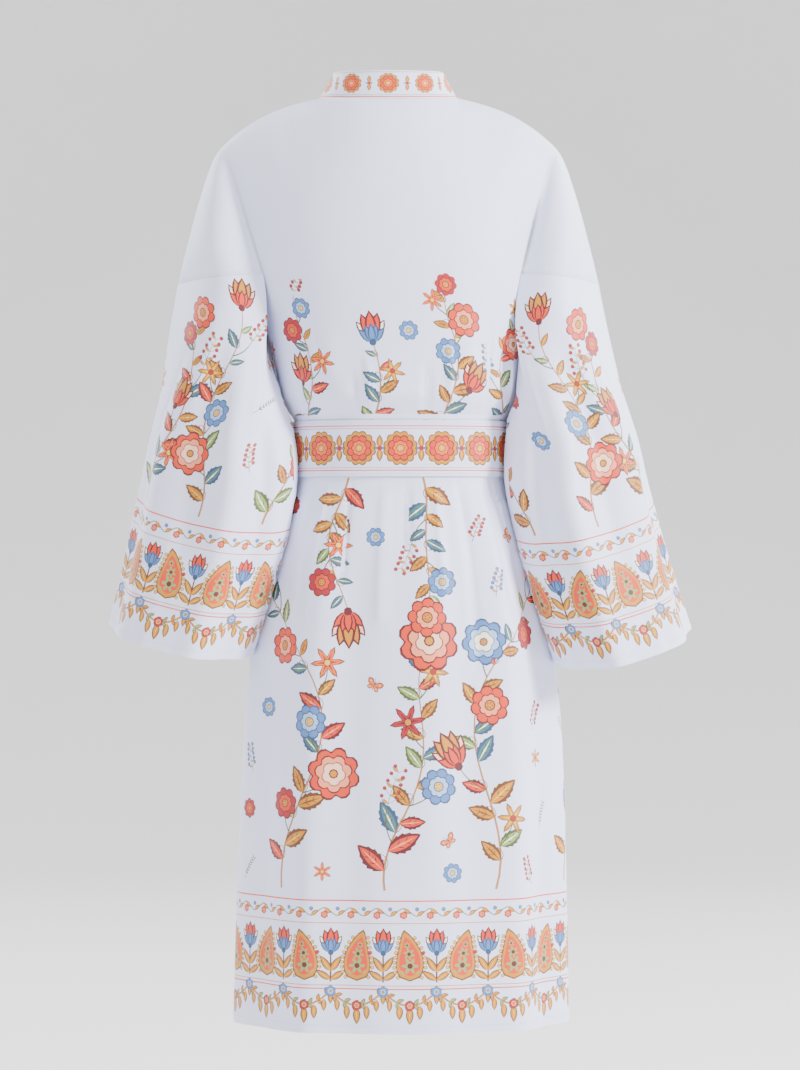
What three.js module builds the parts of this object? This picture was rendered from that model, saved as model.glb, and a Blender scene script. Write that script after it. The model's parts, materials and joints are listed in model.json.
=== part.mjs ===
// A belted kimono coat as it hangs when worn, made as hollow cloth walls.
// Millimetres, +Z up. X runs to the wearer's left, the back faces +Y and the open front faces -Y.
// The origin is the middle of the neck at the height of the shoulders, where the coat is held.
import * as THREE from "three";

// Cloth and seams
const CLOTH = 1.5; // wall of the coat
const BELT_CLOTH = 2.2; // the belt is two layers with a stiffener
const SEAM_GAP = 0.3;
const SEAM_TURN = 0.0008; // half a side seam's gap, as a turn round the body in radians

// Heights, measured down from the shoulder line at the neck
const NECK_SIDE_Z = 2;
const ARMHOLE_Z = -212;
const ARM_SEAM_Z = -220;
const BELT_TOP = -386;
const BELT_FOOT = -454;
const HEM_Z = -1100;

// Round sections: 2 would be an ellipse, more is squarer
const BODY_ROUND = 2.3;
const SLEEVE_ROUND = 2.15;

// Half sizes of the coat's body, from the armholes to the hem
const BODY = [
  { z: -1100, middle: -7, half: 197, back: 150, front: 146 },
  { z: -950, middle: -8, half: 193, back: 146, front: 143 },
  { z: -780, middle: -9, half: 187, back: 141, front: 138 },
  { z: -650, middle: -9, half: 176, back: 134, front: 130 },
  { z: -560, middle: -8, half: 158, back: 122, front: 118 },
  { z: -490, middle: -7, half: 138, back: 103, front: 101 },
  { z: -466, middle: -7, half: 129, back: 95, front: 94 },
  { z: -454, middle: -7, half: 127, back: 93, front: 92 },
  { z: -386, middle: -7, half: 127, back: 93, front: 92 },
  { z: -376, middle: -6, half: 133, back: 99, front: 97 },
  { z: -356, middle: -6, half: 143, back: 109, front: 105 },
  { z: -300, middle: -3, half: 151, back: 110, front: 105 },
  { z: -212, middle: 3, half: 166, back: 112, front: 104 },
];

// Main folds of the body: where round it in degrees (0 wearer's left, 90 back, 270 front), from
// which height to which, how wide and how deep. A minus sign is a trough.
const BODY_FOLDS = [
  { turn: 58, top: -470, foot: -1100, wide: 7, deep: 5 },
  { turn: 74, top: -500, foot: -1100, wide: 8, deep: -4 },
  { turn: 97, top: -460, foot: -960, wide: 7, deep: 3 },
  { turn: 112, top: -540, foot: -1100, wide: 8, deep: -4 },
  { turn: 131, top: -470, foot: -1100, wide: 7, deep: 6 },
  { turn: 150, top: -480, foot: -1100, wide: 8, deep: -6 },
  { turn: 34, top: -480, foot: -1100, wide: 8, deep: -5 },
  { turn: 12, top: -560, foot: -1100, wide: 8, deep: 6 },
  { turn: 170, top: -560, foot: -1100, wide: 7, deep: 6 },
  { turn: 199, top: -470, foot: -1100, wide: 9, deep: 8 },
  { turn: 222, top: -520, foot: -1100, wide: 9, deep: -7 },
  { turn: 243, top: -470, foot: -1060, wide: 8, deep: 6 },
  { turn: 296, top: -470, foot: -1100, wide: 9, deep: 7 },
  { turn: 318, top: -500, foot: -1100, wide: 9, deep: -7 },
  { turn: 341, top: -480, foot: -1100, wide: 8, deep: 8 },
  { turn: 60, top: -250, foot: -386, wide: 7, deep: 4 },
  { turn: 86, top: -290, foot: -386, wide: 6, deep: 4 },
  { turn: 121, top: -250, foot: -386, wide: 7, deep: 5 },
  { turn: 145, top: -230, foot: -386, wide: 6, deep: -4 },
];
const FOLD_EASE = 90; // how far a fold takes to rise from nothing

// The neck and the shoulder line, from the side of the neck to the sleeve seam on the upper arm
const NECK_HALF = 82;
const NECK_BACK = 62;
const NECK_DIP = 8; // the seam at the back neck lies lower than at its sides
const TOP_MIDDLE = 8;
const SHOULDER = [
  { run: 0, out: 82, z: 2 },
  { run: 39, out: 120, z: -8 },
  { run: 71, out: 150, z: -20 },
  { run: 113, out: 185, z: -43 },
  { run: 145, out: 207, z: -66 },
  { run: 187, out: 222, z: -105 },
  { run: 265, out: 243, z: -180 },
  { run: 306, out: 253, z: -220 },
];
const SHOULDER_TIP = 128; // run at which the line bends over the arm
const SHOULDER_END = 306;
const SHOULDER_FORWARD = 12; // the line drifts to the front on its way down the arm
const CREASE_TURN = (25 * Math.PI) / 180; // where the arm folds away from the body
const ARM_BULGE = 42; // how far the cloth stands round the back and front of the upper arm
const ARM_SPREAD = 5;

// The wrapped fronts: where the band is sewn on, across the body
const FRONT_SEAM = [
  { z: -1100, across: -45 },
  { z: -700, across: -36 },
  { z: -420, across: -25 },
  { z: -212, across: 30 },
  { z: 2, across: 82 },
];
const BAND_WIDE = 46;
const OVER_LIFT = 2.4; // the wearer's left front lies over the right one
const UNDER_SINK = 1;
const LAP_EDGE = 104; // the lap stays lifted up to here, and meets the side LAP_EASE further on
const LAP_EASE = 22;

// The standing part of the neckband
const COLLAR_SIDE = { out: 66, y: -4, z: 33 };
const COLLAR_BACK = { y: 50, z: 29 };

// Sleeves: outer and inner line of each section, half its depth, and how much its back side hangs
const SLEEVE_LEFT = [
  { down: 0.0, outX: 260, outY: -12, outZ: -220, inX: 163, inY: 10, inZ: -212, deep: 66, hang: 0 },
  { down: 0.16, outX: 271, outY: -12, outZ: -288, inX: 150, inY: 42, inZ: -290, deep: 62, hang: 2 },
  { down: 0.35, outX: 284, outY: -12, outZ: -372, inX: 128, inY: 62, inZ: -374, deep: 64, hang: 4 },
  { down: 0.53, outX: 298, outY: -10, outZ: -450, inX: 119, inY: 66, inZ: -450, deep: 68, hang: 6 },
  { down: 0.68, outX: 310, outY: -8, outZ: -510, inX: 126, inY: 66, inZ: -514, deep: 73, hang: 9 },
  { down: 0.84, outX: 322, outY: -6, outZ: -568, inX: 144, inY: 62, inZ: -588, deep: 78, hang: 12 },
  { down: 1.0, outX: 335, outY: -4, outZ: -622, inX: 168, inY: 56, inZ: -664, deep: 82, hang: 14 },
];
const SLEEVE_RIGHT = [
  { down: 0.0, outX: 250, outY: -12, outZ: -220, inX: 160, inY: 10, inZ: -212, deep: 66, hang: 0 },
  { down: 0.16, outX: 263, outY: -12, outZ: -288, inX: 145, inY: 42, inZ: -292, deep: 62, hang: 2 },
  { down: 0.35, outX: 280, outY: -12, outZ: -372, inX: 136, inY: 60, inZ: -376, deep: 64, hang: 4 },
  { down: 0.53, outX: 295, outY: -10, outZ: -450, inX: 134, inY: 66, inZ: -452, deep: 68, hang: 6 },
  { down: 0.68, outX: 311, outY: -8, outZ: -514, inX: 144, inY: 66, inZ: -518, deep: 73, hang: 9 },
  { down: 0.84, outX: 328, outY: -6, outZ: -570, inX: 163, inY: 62, inZ: -594, deep: 78, hang: 12 },
  { down: 1.0, outX: 346, outY: -4, outZ: -626, inX: 192, inY: 56, inZ: -676, deep: 82, hang: 14 },
];
const UNDERARM_FROM = 0.38; // the stretch of the armhole that lies under the arm, as a turn
const UNDERARM_TO = 0.62;
const SLEEVE_SETTLE = 0.5; // how far down the sleeve takes to leave the armhole's shape

// Main folds of a sleeve: where round it (0 outer line, 0.25 back, 0.5 next to the body), from how
// far down to how far, how wide as a turn, and how deep
const SLEEVE_FOLDS = [
  { turn: 0.1, from: 0.34, to: 1.1, wide: 0.03, deep: -5 },
  { turn: 0.17, from: 0.12, to: 1.1, wide: 0.03, deep: 5 },
  { turn: 0.25, from: 0.04, to: 0.8, wide: 0.028, deep: -7 },
  { turn: 0.32, from: 0.1, to: 1.1, wide: 0.03, deep: 7 },
  { turn: 0.4, from: 0.3, to: 1.1, wide: 0.028, deep: -6 },
  { turn: 0.68, from: 0.1, to: 1.1, wide: 0.03, deep: 6 },
  { turn: 0.77, from: 0.05, to: 0.9, wide: 0.03, deep: -7 },
  { turn: 0.86, from: 0.3, to: 1.1, wide: 0.03, deep: 5 },
];
const SLEEVE_CLEAR = 2.6; // a sleeve hangs this far off the body
const BELT_CLEAR = 8; // and this far off it beside the belt

// Belt, knot and tails
const BELT_LIFT = 0.4;
const KNOT = { x: -6, z: -420, halfWide: 31, halfTall: 29, halfDeep: 13, round: 2.6 };
const TAIL_WIDE = 58;
const TAIL_THICK = 2.2;
const TAILS = [
  { name: "belt_tail_left", atKnot: 10, atEnd: 34, stack: 0, end: -790 },
  { name: "belt_tail_right", atKnot: -24, atEnd: -52, stack: 1, end: -742 },
];
const TAIL_LIFT = 1.2; // how far the lower tail lies off the front
const TAIL_STACK = TAIL_THICK + 0.4; // and the other one off it
const TAIL_FALL = 110; // how far below the knot they reach the coat

// Steps of the meshes
const STEPS = {
  bodyRows: 20,
  side: 3, // columns from a side seam to the crease
  back: 24,
  neck: 10, // of the back's columns, those under the neckband
  cap: 6,
  yoke: 7,
  front: 11,
  sleeveRound: 36,
  sleeveRows: 15,
  band: 2,
  belt: 56,
  tail: 14,
};

const WHITE = 0xeef0f8;
const ORANGE = 0xe8704a;

const { PI } = Math;
const mix = (a, b, t) => a + (b - a) * t;
const vec = (x, y, z) => new THREE.Vector3(x, y, z);
const power = (x, n) => Math.sign(x) * Math.abs(x) ** n;

// A smooth step from 0 at one place to 1 at another.
function ease(from, to, x) {
  const t = Math.min(1, Math.max(0, (x - from) / (to - from)));
  return t * t * (3 - 2 * t);
}

// Reads a table at any place of its first column, with smooth steps that never overshoot a row.
function reader(rows) {
  const key = Object.keys(rows[0])[0];
  const table = rows[0][key] > rows[1][key] ? [...rows].reverse() : rows;
  const at = table.map((row) => row[key]);
  const last = at.length - 1;
  const slopes = {};
  for (const column of Object.keys(table[0]).filter((name) => name !== key)) {
    const y = table.map((row) => row[column]);
    const rise = at.slice(1).map((x, i) => (y[i + 1] - y[i]) / (x - at[i]));
    slopes[column] = y.map((_, i) => {
      if (i === 0) return rise[0];
      if (i === last) return rise[last - 1];
      const [a, b] = [rise[i - 1], rise[i]];
      return a * b > 0 ? (2 * a * b) / (a + b) : 0;
    });
  }
  return (x) => {
    const place = Math.min(at[last], Math.max(at[0], x));
    const next = at.findIndex((v) => v > place);
    const i = next < 0 ? last - 1 : next - 1;
    const h = at[i + 1] - at[i];
    const t = (place - at[i]) / h;
    const found = {};
    for (const column of Object.keys(slopes)) {
      const [y0, y1] = [table[i][column], table[i + 1][column]];
      const [m0, m1] = [slopes[column][i] * h, slopes[column][i + 1] * h];
      found[column] = (2 * t ** 3 - 3 * t ** 2 + 1) * y0 + (t ** 3 - 2 * t ** 2 + t) * m0 +
        (3 * t ** 2 - 2 * t ** 3) * y1 + (t ** 3 - t ** 2) * m1;
    }
    return found;
  };
}

const bodyAt = reader(BODY);
const shoulderAt = reader(SHOULDER);
const frontSeamAt = reader(FRONT_SEAM);
const sleeveTables = { left: reader(SLEEVE_LEFT), right: reader(SLEEVE_RIGHT) };

// How far the folds push the body's cloth out at a turn and a height.
function bodyFold(turn, z) {
  const degrees = (((turn * 180) / PI) % 360 + 360) % 360;
  let out = 0;
  for (const fold of BODY_FOLDS) {
    const off = ((degrees - fold.turn + 540) % 360 - 180) / fold.wide;
    const rise = ease(fold.top, fold.top - FOLD_EASE, z);
    const fall = fold.foot <= HEM_Z ? 1 : ease(fold.foot, fold.foot + FOLD_EASE, z);
    out += fold.deep * Math.exp(-off * off) * rise * fall;
  }
  return out;
}

// A point of the body's cloth: turn 0 is the wearer's left side, a quarter is the back.
function bodyPoint(turn, z, out = 0) {
  const { middle, half, back, front } = bodyAt(z);
  const lift = out + bodyFold(turn, z);
  const deep = Math.sin(turn) > 0 ? back : front;
  return vec(
    middle + (half + lift) * power(Math.cos(turn), 2 / BODY_ROUND),
    (deep + lift) * power(Math.sin(turn), 2 / BODY_ROUND),
    z,
  );
}

// The turn at which the front of the body reaches a place across it.
function frontTurn(across, z) {
  const { middle, half } = bodyAt(z);
  const part = Math.min(1, Math.max(-1, (across - middle) / half));
  return -Math.acos(power(part, BODY_ROUND / 2));
}

// Pushes a point out of the body's cloth until it is clear of it.
function clearOfBody(p, gap) {
  const { middle, half, back, front } = bodyAt(p.z);
  const deep = p.y > 0 ? back : front;
  const turn = Math.atan2(power(p.y / deep, BODY_ROUND / 2), power((p.x - middle) / half, BODY_ROUND / 2));
  const grown = gap + bodyFold(turn, p.z);
  const reach = (Math.abs((p.x - middle) / (half + grown)) ** BODY_ROUND +
    Math.abs(p.y / (deep + grown)) ** BODY_ROUND) ** (1 / BODY_ROUND);
  return reach >= 1 ? p : vec(middle + (p.x - middle) / reach, p.y / reach, p.z);
}

// A place on the shoulder line. side is 1 for the wearer's left, -1 for the right, and toBack is 1
// for the edge of the back panel, -1 for the edge of a front.
function shoulderPoint(run, side, toBack) {
  const { out, z } = shoulderAt(run);
  const y = (-SHOULDER_FORWARD * run) / SHOULDER_END + (toBack * SEAM_GAP) / 2;
  const p = vec(TOP_MIDDLE + side * out, y, z);
  p.hold = vec(0, 1, 0);
  return p;
}

// The armhole from the crease to the outer line of the arm, round its back or its front.
function armholePoint(part, side, toBack) {
  const crease = bodyPoint(toBack * (side > 0 ? CREASE_TURN : PI - CREASE_TURN), ARMHOLE_Z);
  const outer = shoulderPoint(SHOULDER_END, side, toBack);
  const swell = Math.sin(PI * part);
  const p = vec(
    mix(crease.x, outer.x, part) + side * ARM_SPREAD * swell,
    mix(crease.y, outer.y, part) + toBack * ARM_BULGE * swell,
    mix(ARMHOLE_Z, ARM_SEAM_Z, part),
  );
  p.hold = part < 1 ? vec(0, 0, 1) : vec(0, 1, 0);
  return p;
}

// A column of cloth that starts level at the shoulder, rounds over and ends upright at the armhole.
function yokeColumn(top, foot) {
  const points = [];
  for (let i = 0; i <= STEPS.yoke; i++) {
    const angle = (i / STEPS.yoke) * (PI / 2);
    const down = 1 - Math.cos(angle);
    const p = vec(
      mix(top.x, foot.x, down),
      mix(top.y, foot.y, Math.sin(angle)),
      mix(top.z, foot.z, down),
    );
    if (i === 0) p.hold = top.hold;
    if (i === STEPS.yoke) p.hold = foot.hold;
    points.push(p);
  }
  return points;
}

// The cap over the upper arm, from the crease out to the sleeve seam.
function capColumns(side, toBack) {
  const columns = [];
  for (let i = 0; i <= STEPS.cap; i++) {
    const part = i / STEPS.cap;
    const top = shoulderPoint(mix(SHOULDER_TIP, SHOULDER_END, part), side, toBack);
    const foot = armholePoint(part, side, toBack);
    if (i === 0) foot.hold = undefined;
    columns.push(yokeColumn(top, foot));
  }
  return columns;
}

// Cloth gathered as grids of points. Points that meet are one, and wall() gives it a thickness.
class Cloth {
  constructor() {
    this.points = [];
    this.index = new Map();
    this.faces = [];
  }

  add(p) {
    const key = [p.x, p.y, p.z].map((v) => Math.round(v * 1e3)).join();
    if (!this.index.has(key)) {
      this.index.set(key, this.points.length);
      this.points.push(p);
    }
    const id = this.index.get(key);
    this.points[id].hold ??= p.hold;
    return id;
  }

  grid(lines, flip = false) {
    const ids = lines.map((line) => line.map((p) => this.add(p)));
    for (let i = 0; i + 1 < ids.length; i++) {
      for (let j = 0; j + 1 < ids[i].length; j++) {
        const [a, b, c, d] = [ids[i][j], ids[i][j + 1], ids[i + 1][j + 1], ids[i + 1][j]];
        for (const [p, q, r] of [[a, b, c], [a, c, d]]) {
          if (p === q || q === r || r === p) continue;
          this.faces.push(flip ? [p, q, r] : [p, r, q]);
        }
      }
    }
    return this;
  }

  normals() {
    const normals = this.points.map(() => vec(0, 0, 0));
    for (const [a, b, c] of this.faces) {
      const [p, q, r] = [a, b, c].map((id) => this.points[id]);
      const face = q.clone().sub(p).cross(r.clone().sub(p));
      for (const id of [a, b, c]) normals[id].add(face);
    }
    return normals.map((n, id) => {
      const { hold } = this.points[id];
      if (hold) n.addScaledVector(hold, -n.dot(hold));
      return n.normalize();
    });
  }

  // The cloth's outer face is the grid, and its inner face lies a thickness behind it.
  wall(thick) {
    const normals = this.normals();
    const count = this.points.length;
    const inner = this.points.map((p, id) => p.clone().addScaledVector(normals[id], -thick));
    const triangles = [];
    const edges = new Map();
    for (const [a, b, c] of this.faces) {
      triangles.push(a, b, c, c + count, b + count, a + count);
      for (const [p, q] of [[a, b], [b, c], [c, a]]) edges.set(p + "_" + q, [p, q]);
    }
    for (const [p, q] of edges.values()) {
      if (edges.has(q + "_" + p)) continue;
      triangles.push(q, p, p + count, q, p + count, q + count);
    }
    const flat = [...this.points, ...inner].flatMap((p) => [p.x, p.y, p.z]);
    const geometry = new THREE.BufferGeometry();
    geometry.setAttribute("position", new THREE.Float32BufferAttribute(flat, 3));
    geometry.setIndex(triangles);
    geometry.computeVertexNormals();
    return geometry;
  }
}

const coat = new THREE.Group();

function piece(name, geometry, color) {
  const material = new THREE.MeshStandardMaterial({ color, roughness: 0.6, metalness: 0 });
  const mesh = new THREE.Mesh(geometry, material);
  mesh.name = name;
  coat.add(mesh);
}

// Heights of the body's rows, closer together round the belt.
const bodyRows = [];
for (let i = 0; i <= STEPS.bodyRows; i++) {
  const part = i / STEPS.bodyRows;
  const stretches = [
    { upTo: 0.3, from: ARMHOLE_Z, to: BELT_TOP },
    { upTo: 0.45, from: BELT_TOP, to: BELT_FOOT - 36 },
    { upTo: 1, from: BELT_FOOT - 36, to: HEM_Z },
  ];
  const at = stretches.findIndex(({ upTo }) => part <= upTo + 1e-9);
  const start = at ? stretches[at - 1].upTo : 0;
  const { upTo, from, to } = stretches[at];
  bodyRows.push(mix(from, to, (part - start) / (upTo - start)));
}

// Back panel: below the armholes it runs from side seam to side seam, above them over both arms.
function backTurns() {
  const turns = [];
  for (let i = 0; i < STEPS.side; i++) turns.push(mix(SEAM_TURN, CREASE_TURN, i / STEPS.side));
  for (let i = 0; i <= STEPS.back; i++) turns.push(mix(CREASE_TURN, PI - CREASE_TURN, i / STEPS.back));
  for (let i = 1; i <= STEPS.side; i++) {
    turns.push(mix(PI - CREASE_TURN, PI - SEAM_TURN, i / STEPS.side));
  }
  return turns;
}

function sideSeam(p) {
  p.hold = vec(0, 1, 0);
  return p;
}

function buildBack() {
  const cloth = new Cloth();
  const turns = backTurns();
  const last = turns.length - 1;
  cloth.grid(bodyRows.map((z) => turns.map((turn, i) => {
    const p = bodyPoint(turn, z);
    return i === 0 || i === last ? sideSeam(p) : p;
  })));
  const neckPart = STEPS.neck / STEPS.back;
  const columns = [];
  for (let i = 0; i <= STEPS.back; i++) {
    const across = 1 - (2 * i) / STEPS.back;
    const side = Math.sign(across) || 1;
    const reach = Math.abs(across);
    let top = shoulderPoint(SHOULDER_TIP * ((reach - neckPart) / (1 - neckPart)), side, 1);
    if (reach < neckPart - 1e-9) {
      const angle = (1 - reach / neckPart) * (PI / 2);
      top = neckPoint(side, angle);
    }
    columns.push(yokeColumn(top, bodyPoint(mix(CREASE_TURN, PI - CREASE_TURN, i / STEPS.back), ARMHOLE_Z)));
  }
  cloth.grid(columns, true);
  cloth.grid(capColumns(1, 1));
  cloth.grid(capColumns(-1, 1), true);
  piece("back", cloth.wall(CLOTH), WHITE);
}

// The seam of the neckband at the back neck, from a side of the neck to its middle.
function neckPoint(side, angle, lift = 0) {
  return vec(
    TOP_MIDDLE + side * NECK_HALF * Math.cos(angle),
    NECK_BACK * Math.sin(angle) + SEAM_GAP / 2,
    NECK_SIDE_Z - NECK_DIP * Math.sin(angle) + lift,
  );
}

// How far a front's cloth is lifted off the body's line at a place across it.
function lapLift(across, over) {
  return (over ? OVER_LIFT : -UNDER_SINK) * ease(LAP_EDGE + LAP_EASE, LAP_EDGE, across);
}

// A place on a front below the armhole. side 1 is the wearer's left front, which laps over, and
// across is measured towards that side.
function frontPoint(side, across, z, out = 0) {
  const turn = frontTurn(side * across, z);
  return bodyPoint(turn, z, out + lapLift(across, side > 0));
}

function frontSide(side, z) {
  const turn = side > 0 ? -SEAM_TURN : -PI + SEAM_TURN;
  return { turn, point: sideSeam(bodyPoint(turn, z)) };
}

function buildFront(side, name) {
  const cloth = new Cloth();
  const crease = side > 0 ? -CREASE_TURN : -PI + CREASE_TURN;
  const turnOf = (z, i) => {
    const edge = frontTurn(side * frontSeamAt(z).across, z);
    return mix(crease, edge, i / STEPS.front);
  };
  const pointOf = (turn, z) => {
    const flat = bodyPoint(turn, z);
    return bodyPoint(turn, z, lapLift(side * flat.x, side > 0));
  };
  cloth.grid(bodyRows.map((z) => {
    const { turn, point } = frontSide(side, z);
    const row = [point];
    for (let i = 1; i < STEPS.side; i++) row.push(pointOf(mix(turn, crease, i / STEPS.side), z));
    for (let i = 0; i <= STEPS.front; i++) row.push(pointOf(turnOf(z, i), z));
    return row;
  }), side > 0);
  const columns = [];
  for (let i = 0; i <= STEPS.front; i++) {
    const top = shoulderPoint(SHOULDER_TIP * (1 - i / STEPS.front), side, -1);
    columns.push(yokeColumn(top, pointOf(turnOf(ARMHOLE_Z, i), ARMHOLE_Z)));
  }
  cloth.grid(columns, side < 0);
  cloth.grid(capColumns(side, -1), side > 0);
  piece(name, cloth.wall(CLOTH), WHITE);
}

// The band along a front: sewn to the front's edge, standing up at the neck and flat below.
function buildFrontBand(side, name) {
  const cloth = new Cloth();
  const over = side > 0;
  const lines = [];
  for (let k = 0; k <= STEPS.band; k++) {
    const part = k / STEPS.band;
    const inset = mix(SEAM_GAP, BAND_WIDE, part);
    const seamTop = shoulderPoint(0, side, -1);
    const edgeTop = vec(TOP_MIDDLE + side * COLLAR_SIDE.out, COLLAR_SIDE.y - SEAM_GAP / 2, COLLAR_SIDE.z);
    const first = seamTop.clone().lerp(edgeTop, Math.max(part, SEAM_GAP / COLLAR_SIDE.z));
    first.hold = vec(0, 1, 0);
    const foot = frontPoint(side, frontSeamAt(ARMHOLE_Z).across - inset, ARMHOLE_Z);
    const line = yokeColumn(first, foot);
    for (const z of bodyRows.slice(1)) {
      line.push(frontPoint(side, frontSeamAt(z).across - inset, z));
    }
    lines.push(line);
  }
  cloth.grid(lines, !over);
  piece(name, cloth.wall(CLOTH), ORANGE);
}

// The band at the back neck, which stands up and leans in.
function buildBackBand() {
  const cloth = new Cloth();
  const lines = [];
  for (let k = 0; k <= STEPS.band; k++) {
    const part = k / STEPS.band;
    const line = [];
    for (let i = 0; i <= STEPS.neck; i++) {
      const across = 1 - (2 * i) / STEPS.neck;
      const side = Math.sign(across) || 1;
      const angle = (1 - Math.abs(across)) * (PI / 2);
      const seam = neckPoint(side, angle, SEAM_GAP);
      const edge = vec(
        TOP_MIDDLE + side * COLLAR_SIDE.out * Math.cos(angle),
        mix(COLLAR_SIDE.y + SEAM_GAP / 2, COLLAR_BACK.y, Math.sin(angle)),
        mix(COLLAR_SIDE.z, COLLAR_BACK.z, Math.sin(angle)),
      );
      const p = seam.lerp(edge, part);
      if (i === 0 || i === STEPS.neck) p.hold = vec(0, 1, 0);
      else if (k === 0) p.hold = vec(0, 0, 1);
      line.push(p);
    }
    lines.push(line);
  }
  cloth.grid(lines, true);
  piece("neckband_back", cloth.wall(CLOTH), ORANGE);
}

// The ring of the armhole as the sleeve takes it up, a seam's gap below the coat's body.
function sleeveTop(side, turn) {
  if (turn <= UNDERARM_FROM || turn >= UNDERARM_TO) {
    const toBack = turn <= UNDERARM_FROM ? 1 : -1;
    const part = toBack > 0 ? 1 - turn / UNDERARM_FROM : (turn - UNDERARM_TO) / (1 - UNDERARM_TO);
    const p = armholePoint(part, side, toBack);
    return vec(p.x, turn === 0 || part === 1 ? -SHOULDER_FORWARD : p.y, p.z - SEAM_GAP);
  }
  const under = mix(CREASE_TURN, -CREASE_TURN, (turn - UNDERARM_FROM) / (UNDERARM_TO - UNDERARM_FROM));
  return bodyPoint(side > 0 ? under : PI - under, ARMHOLE_Z - SEAM_GAP);
}

function sleeveFold(turn, down) {
  let out = 0;
  for (const fold of SLEEVE_FOLDS) {
    const off = (((turn - fold.turn + 1.5) % 1) - 0.5) / fold.wide;
    const rise = ease(fold.from, fold.from + 0.2, down);
    const fall = fold.to > 1 ? 1 : ease(fold.to, fold.to - 0.2, down);
    out += fold.deep * Math.exp(-off * off) * rise * fall;
  }
  return out;
}

// A point of a sleeve: turn runs from the outer line round by the back, down from seam to cuff.
function sleevePoint(side, turn, down) {
  const row = sleeveTables[side > 0 ? "left" : "right"](down);
  const outer = vec(side * row.outX, row.outY, row.outZ);
  const inner = vec(side * row.inX, row.inY, row.inZ);
  const centre = outer.clone().add(inner).multiplyScalar(0.5);
  const along = outer.clone().sub(centre);
  const across = vec(-along.y, along.x, 0).normalize().multiplyScalar(side);
  const angle = turn * 2 * PI;
  const lift = sleeveFold(turn, down);
  const [c, s] = [Math.cos(angle), Math.sin(angle)].map((v) => power(v, 2 / SLEEVE_ROUND));
  const p = centre
    .addScaledVector(along, c * (1 + lift / along.length()))
    .addScaledVector(across, s * (row.deep + lift));
  p.z -= s * row.hang;
  const settled = ease(0, SLEEVE_SETTLE, down);
  const top = sleeveTop(side, turn);
  const start = sleeveTables[side > 0 ? "left" : "right"](0);
  const wider = (row.outX - row.inX) / (start.outX - start.inX);
  top.x = (side * (row.outX + row.inX)) / 2 + (top.x - (side * (start.outX + start.inX)) / 2) * wider;
  top.y += (row.outY + row.inY - start.outY - start.inY) / 2;
  top.z += mix(row.outZ - start.outZ, row.inZ - start.inZ, (1 - Math.cos(angle)) / 2);
  const blended = top.lerp(p, settled);
  const belt = ease(BELT_TOP + 60, BELT_TOP, blended.z) * ease(BELT_FOOT - 60, BELT_FOOT, blended.z);
  const gap = mix(SEAM_GAP, mix(SLEEVE_CLEAR, BELT_CLEAR, belt), ease(0, 0.12, down));
  return clearOfBody(blended, gap);
}

function buildSleeve(side, name) {
  const cloth = new Cloth();
  const lines = [];
  for (let i = 0; i <= STEPS.sleeveRows; i++) {
    const down = i / STEPS.sleeveRows;
    const line = [];
    for (let j = 0; j <= STEPS.sleeveRound; j++) {
      const turn = (j % STEPS.sleeveRound) / STEPS.sleeveRound;
      const p = sleevePoint(side, turn, down);
      if (i === 0) p.hold = vec(0, 0, 1);
      line.push(p);
    }
    lines.push(line);
  }
  cloth.grid(lines, side < 0);
  piece(name, cloth.wall(CLOTH), WHITE);
}

// How far the lapped fronts lift the belt off the body's line.
function beltLift(turn, z) {
  if (Math.sin(turn) >= 0) return 0;
  const across = Math.abs(bodyPoint(turn, z).x);
  return OVER_LIFT * ease(LAP_EDGE + LAP_EASE, LAP_EDGE, across);
}

function buildBelt() {
  const cloth = new Cloth();
  const rows = 3;
  const lines = [];
  for (let i = 0; i <= rows; i++) {
    const z = mix(BELT_TOP - 1, BELT_FOOT + 1, i / rows);
    const line = [];
    for (let j = 0; j <= STEPS.belt; j++) {
      const turn = ((j % STEPS.belt) / STEPS.belt) * 2 * PI;
      line.push(bodyPoint(turn, z, BELT_LIFT + BELT_CLOTH + beltLift(turn, z)));
    }
    lines.push(line);
  }
  cloth.grid(lines);
  piece("belt", cloth.wall(BELT_CLOTH), ORANGE);
}

// The front of the belt's own face at the knot.
function beltFront(x, z, out) {
  return bodyPoint(frontTurn(x, z), z, OVER_LIFT + BELT_LIFT + BELT_CLOTH + out);
}

function buildKnot() {
  const rings = 8;
  const round = 16;
  const face = beltFront(KNOT.x, KNOT.z, SEAM_GAP).y;
  const points = [];
  const ids = [];
  for (let i = 0; i <= rings; i++) {
    const tilt = (i / rings) * PI - PI / 2;
    const line = [];
    for (let j = 0; j < round; j++) {
      const turn = (j / round) * 2 * PI;
      const level = power(Math.cos(tilt), 2 / KNOT.round);
      line.push(points.length);
      points.push(vec(
        KNOT.x + KNOT.halfWide * power(Math.cos(turn), 2 / KNOT.round) * level,
        Math.min(face, face - KNOT.halfDeep * (1 + power(Math.sin(turn), 2 / KNOT.round) * level)),
        KNOT.z + KNOT.halfTall * power(Math.sin(tilt), 2 / KNOT.round),
      ));
      if (i === 0 || i === rings) break;
    }
    ids.push(line);
  }
  const triangles = [];
  for (let i = 0; i < rings; i++) {
    for (let j = 0; j < round; j++) {
      const at = (line, k) => line[k % line.length];
      const [a, b] = [at(ids[i], j), at(ids[i], j + 1)];
      const [c, d] = [at(ids[i + 1], j + 1), at(ids[i + 1], j)];
      if (a !== b) triangles.push(a, c, b);
      if (c !== d) triangles.push(a, d, c);
    }
  }
  const geometry = new THREE.BufferGeometry();
  geometry.setAttribute("position", new THREE.Float32BufferAttribute(points.flatMap((p) => [p.x, p.y, p.z]), 3));
  geometry.setIndex(triangles);
  geometry.computeVertexNormals();
  piece("belt_knot", geometry, ORANGE);
}

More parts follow.
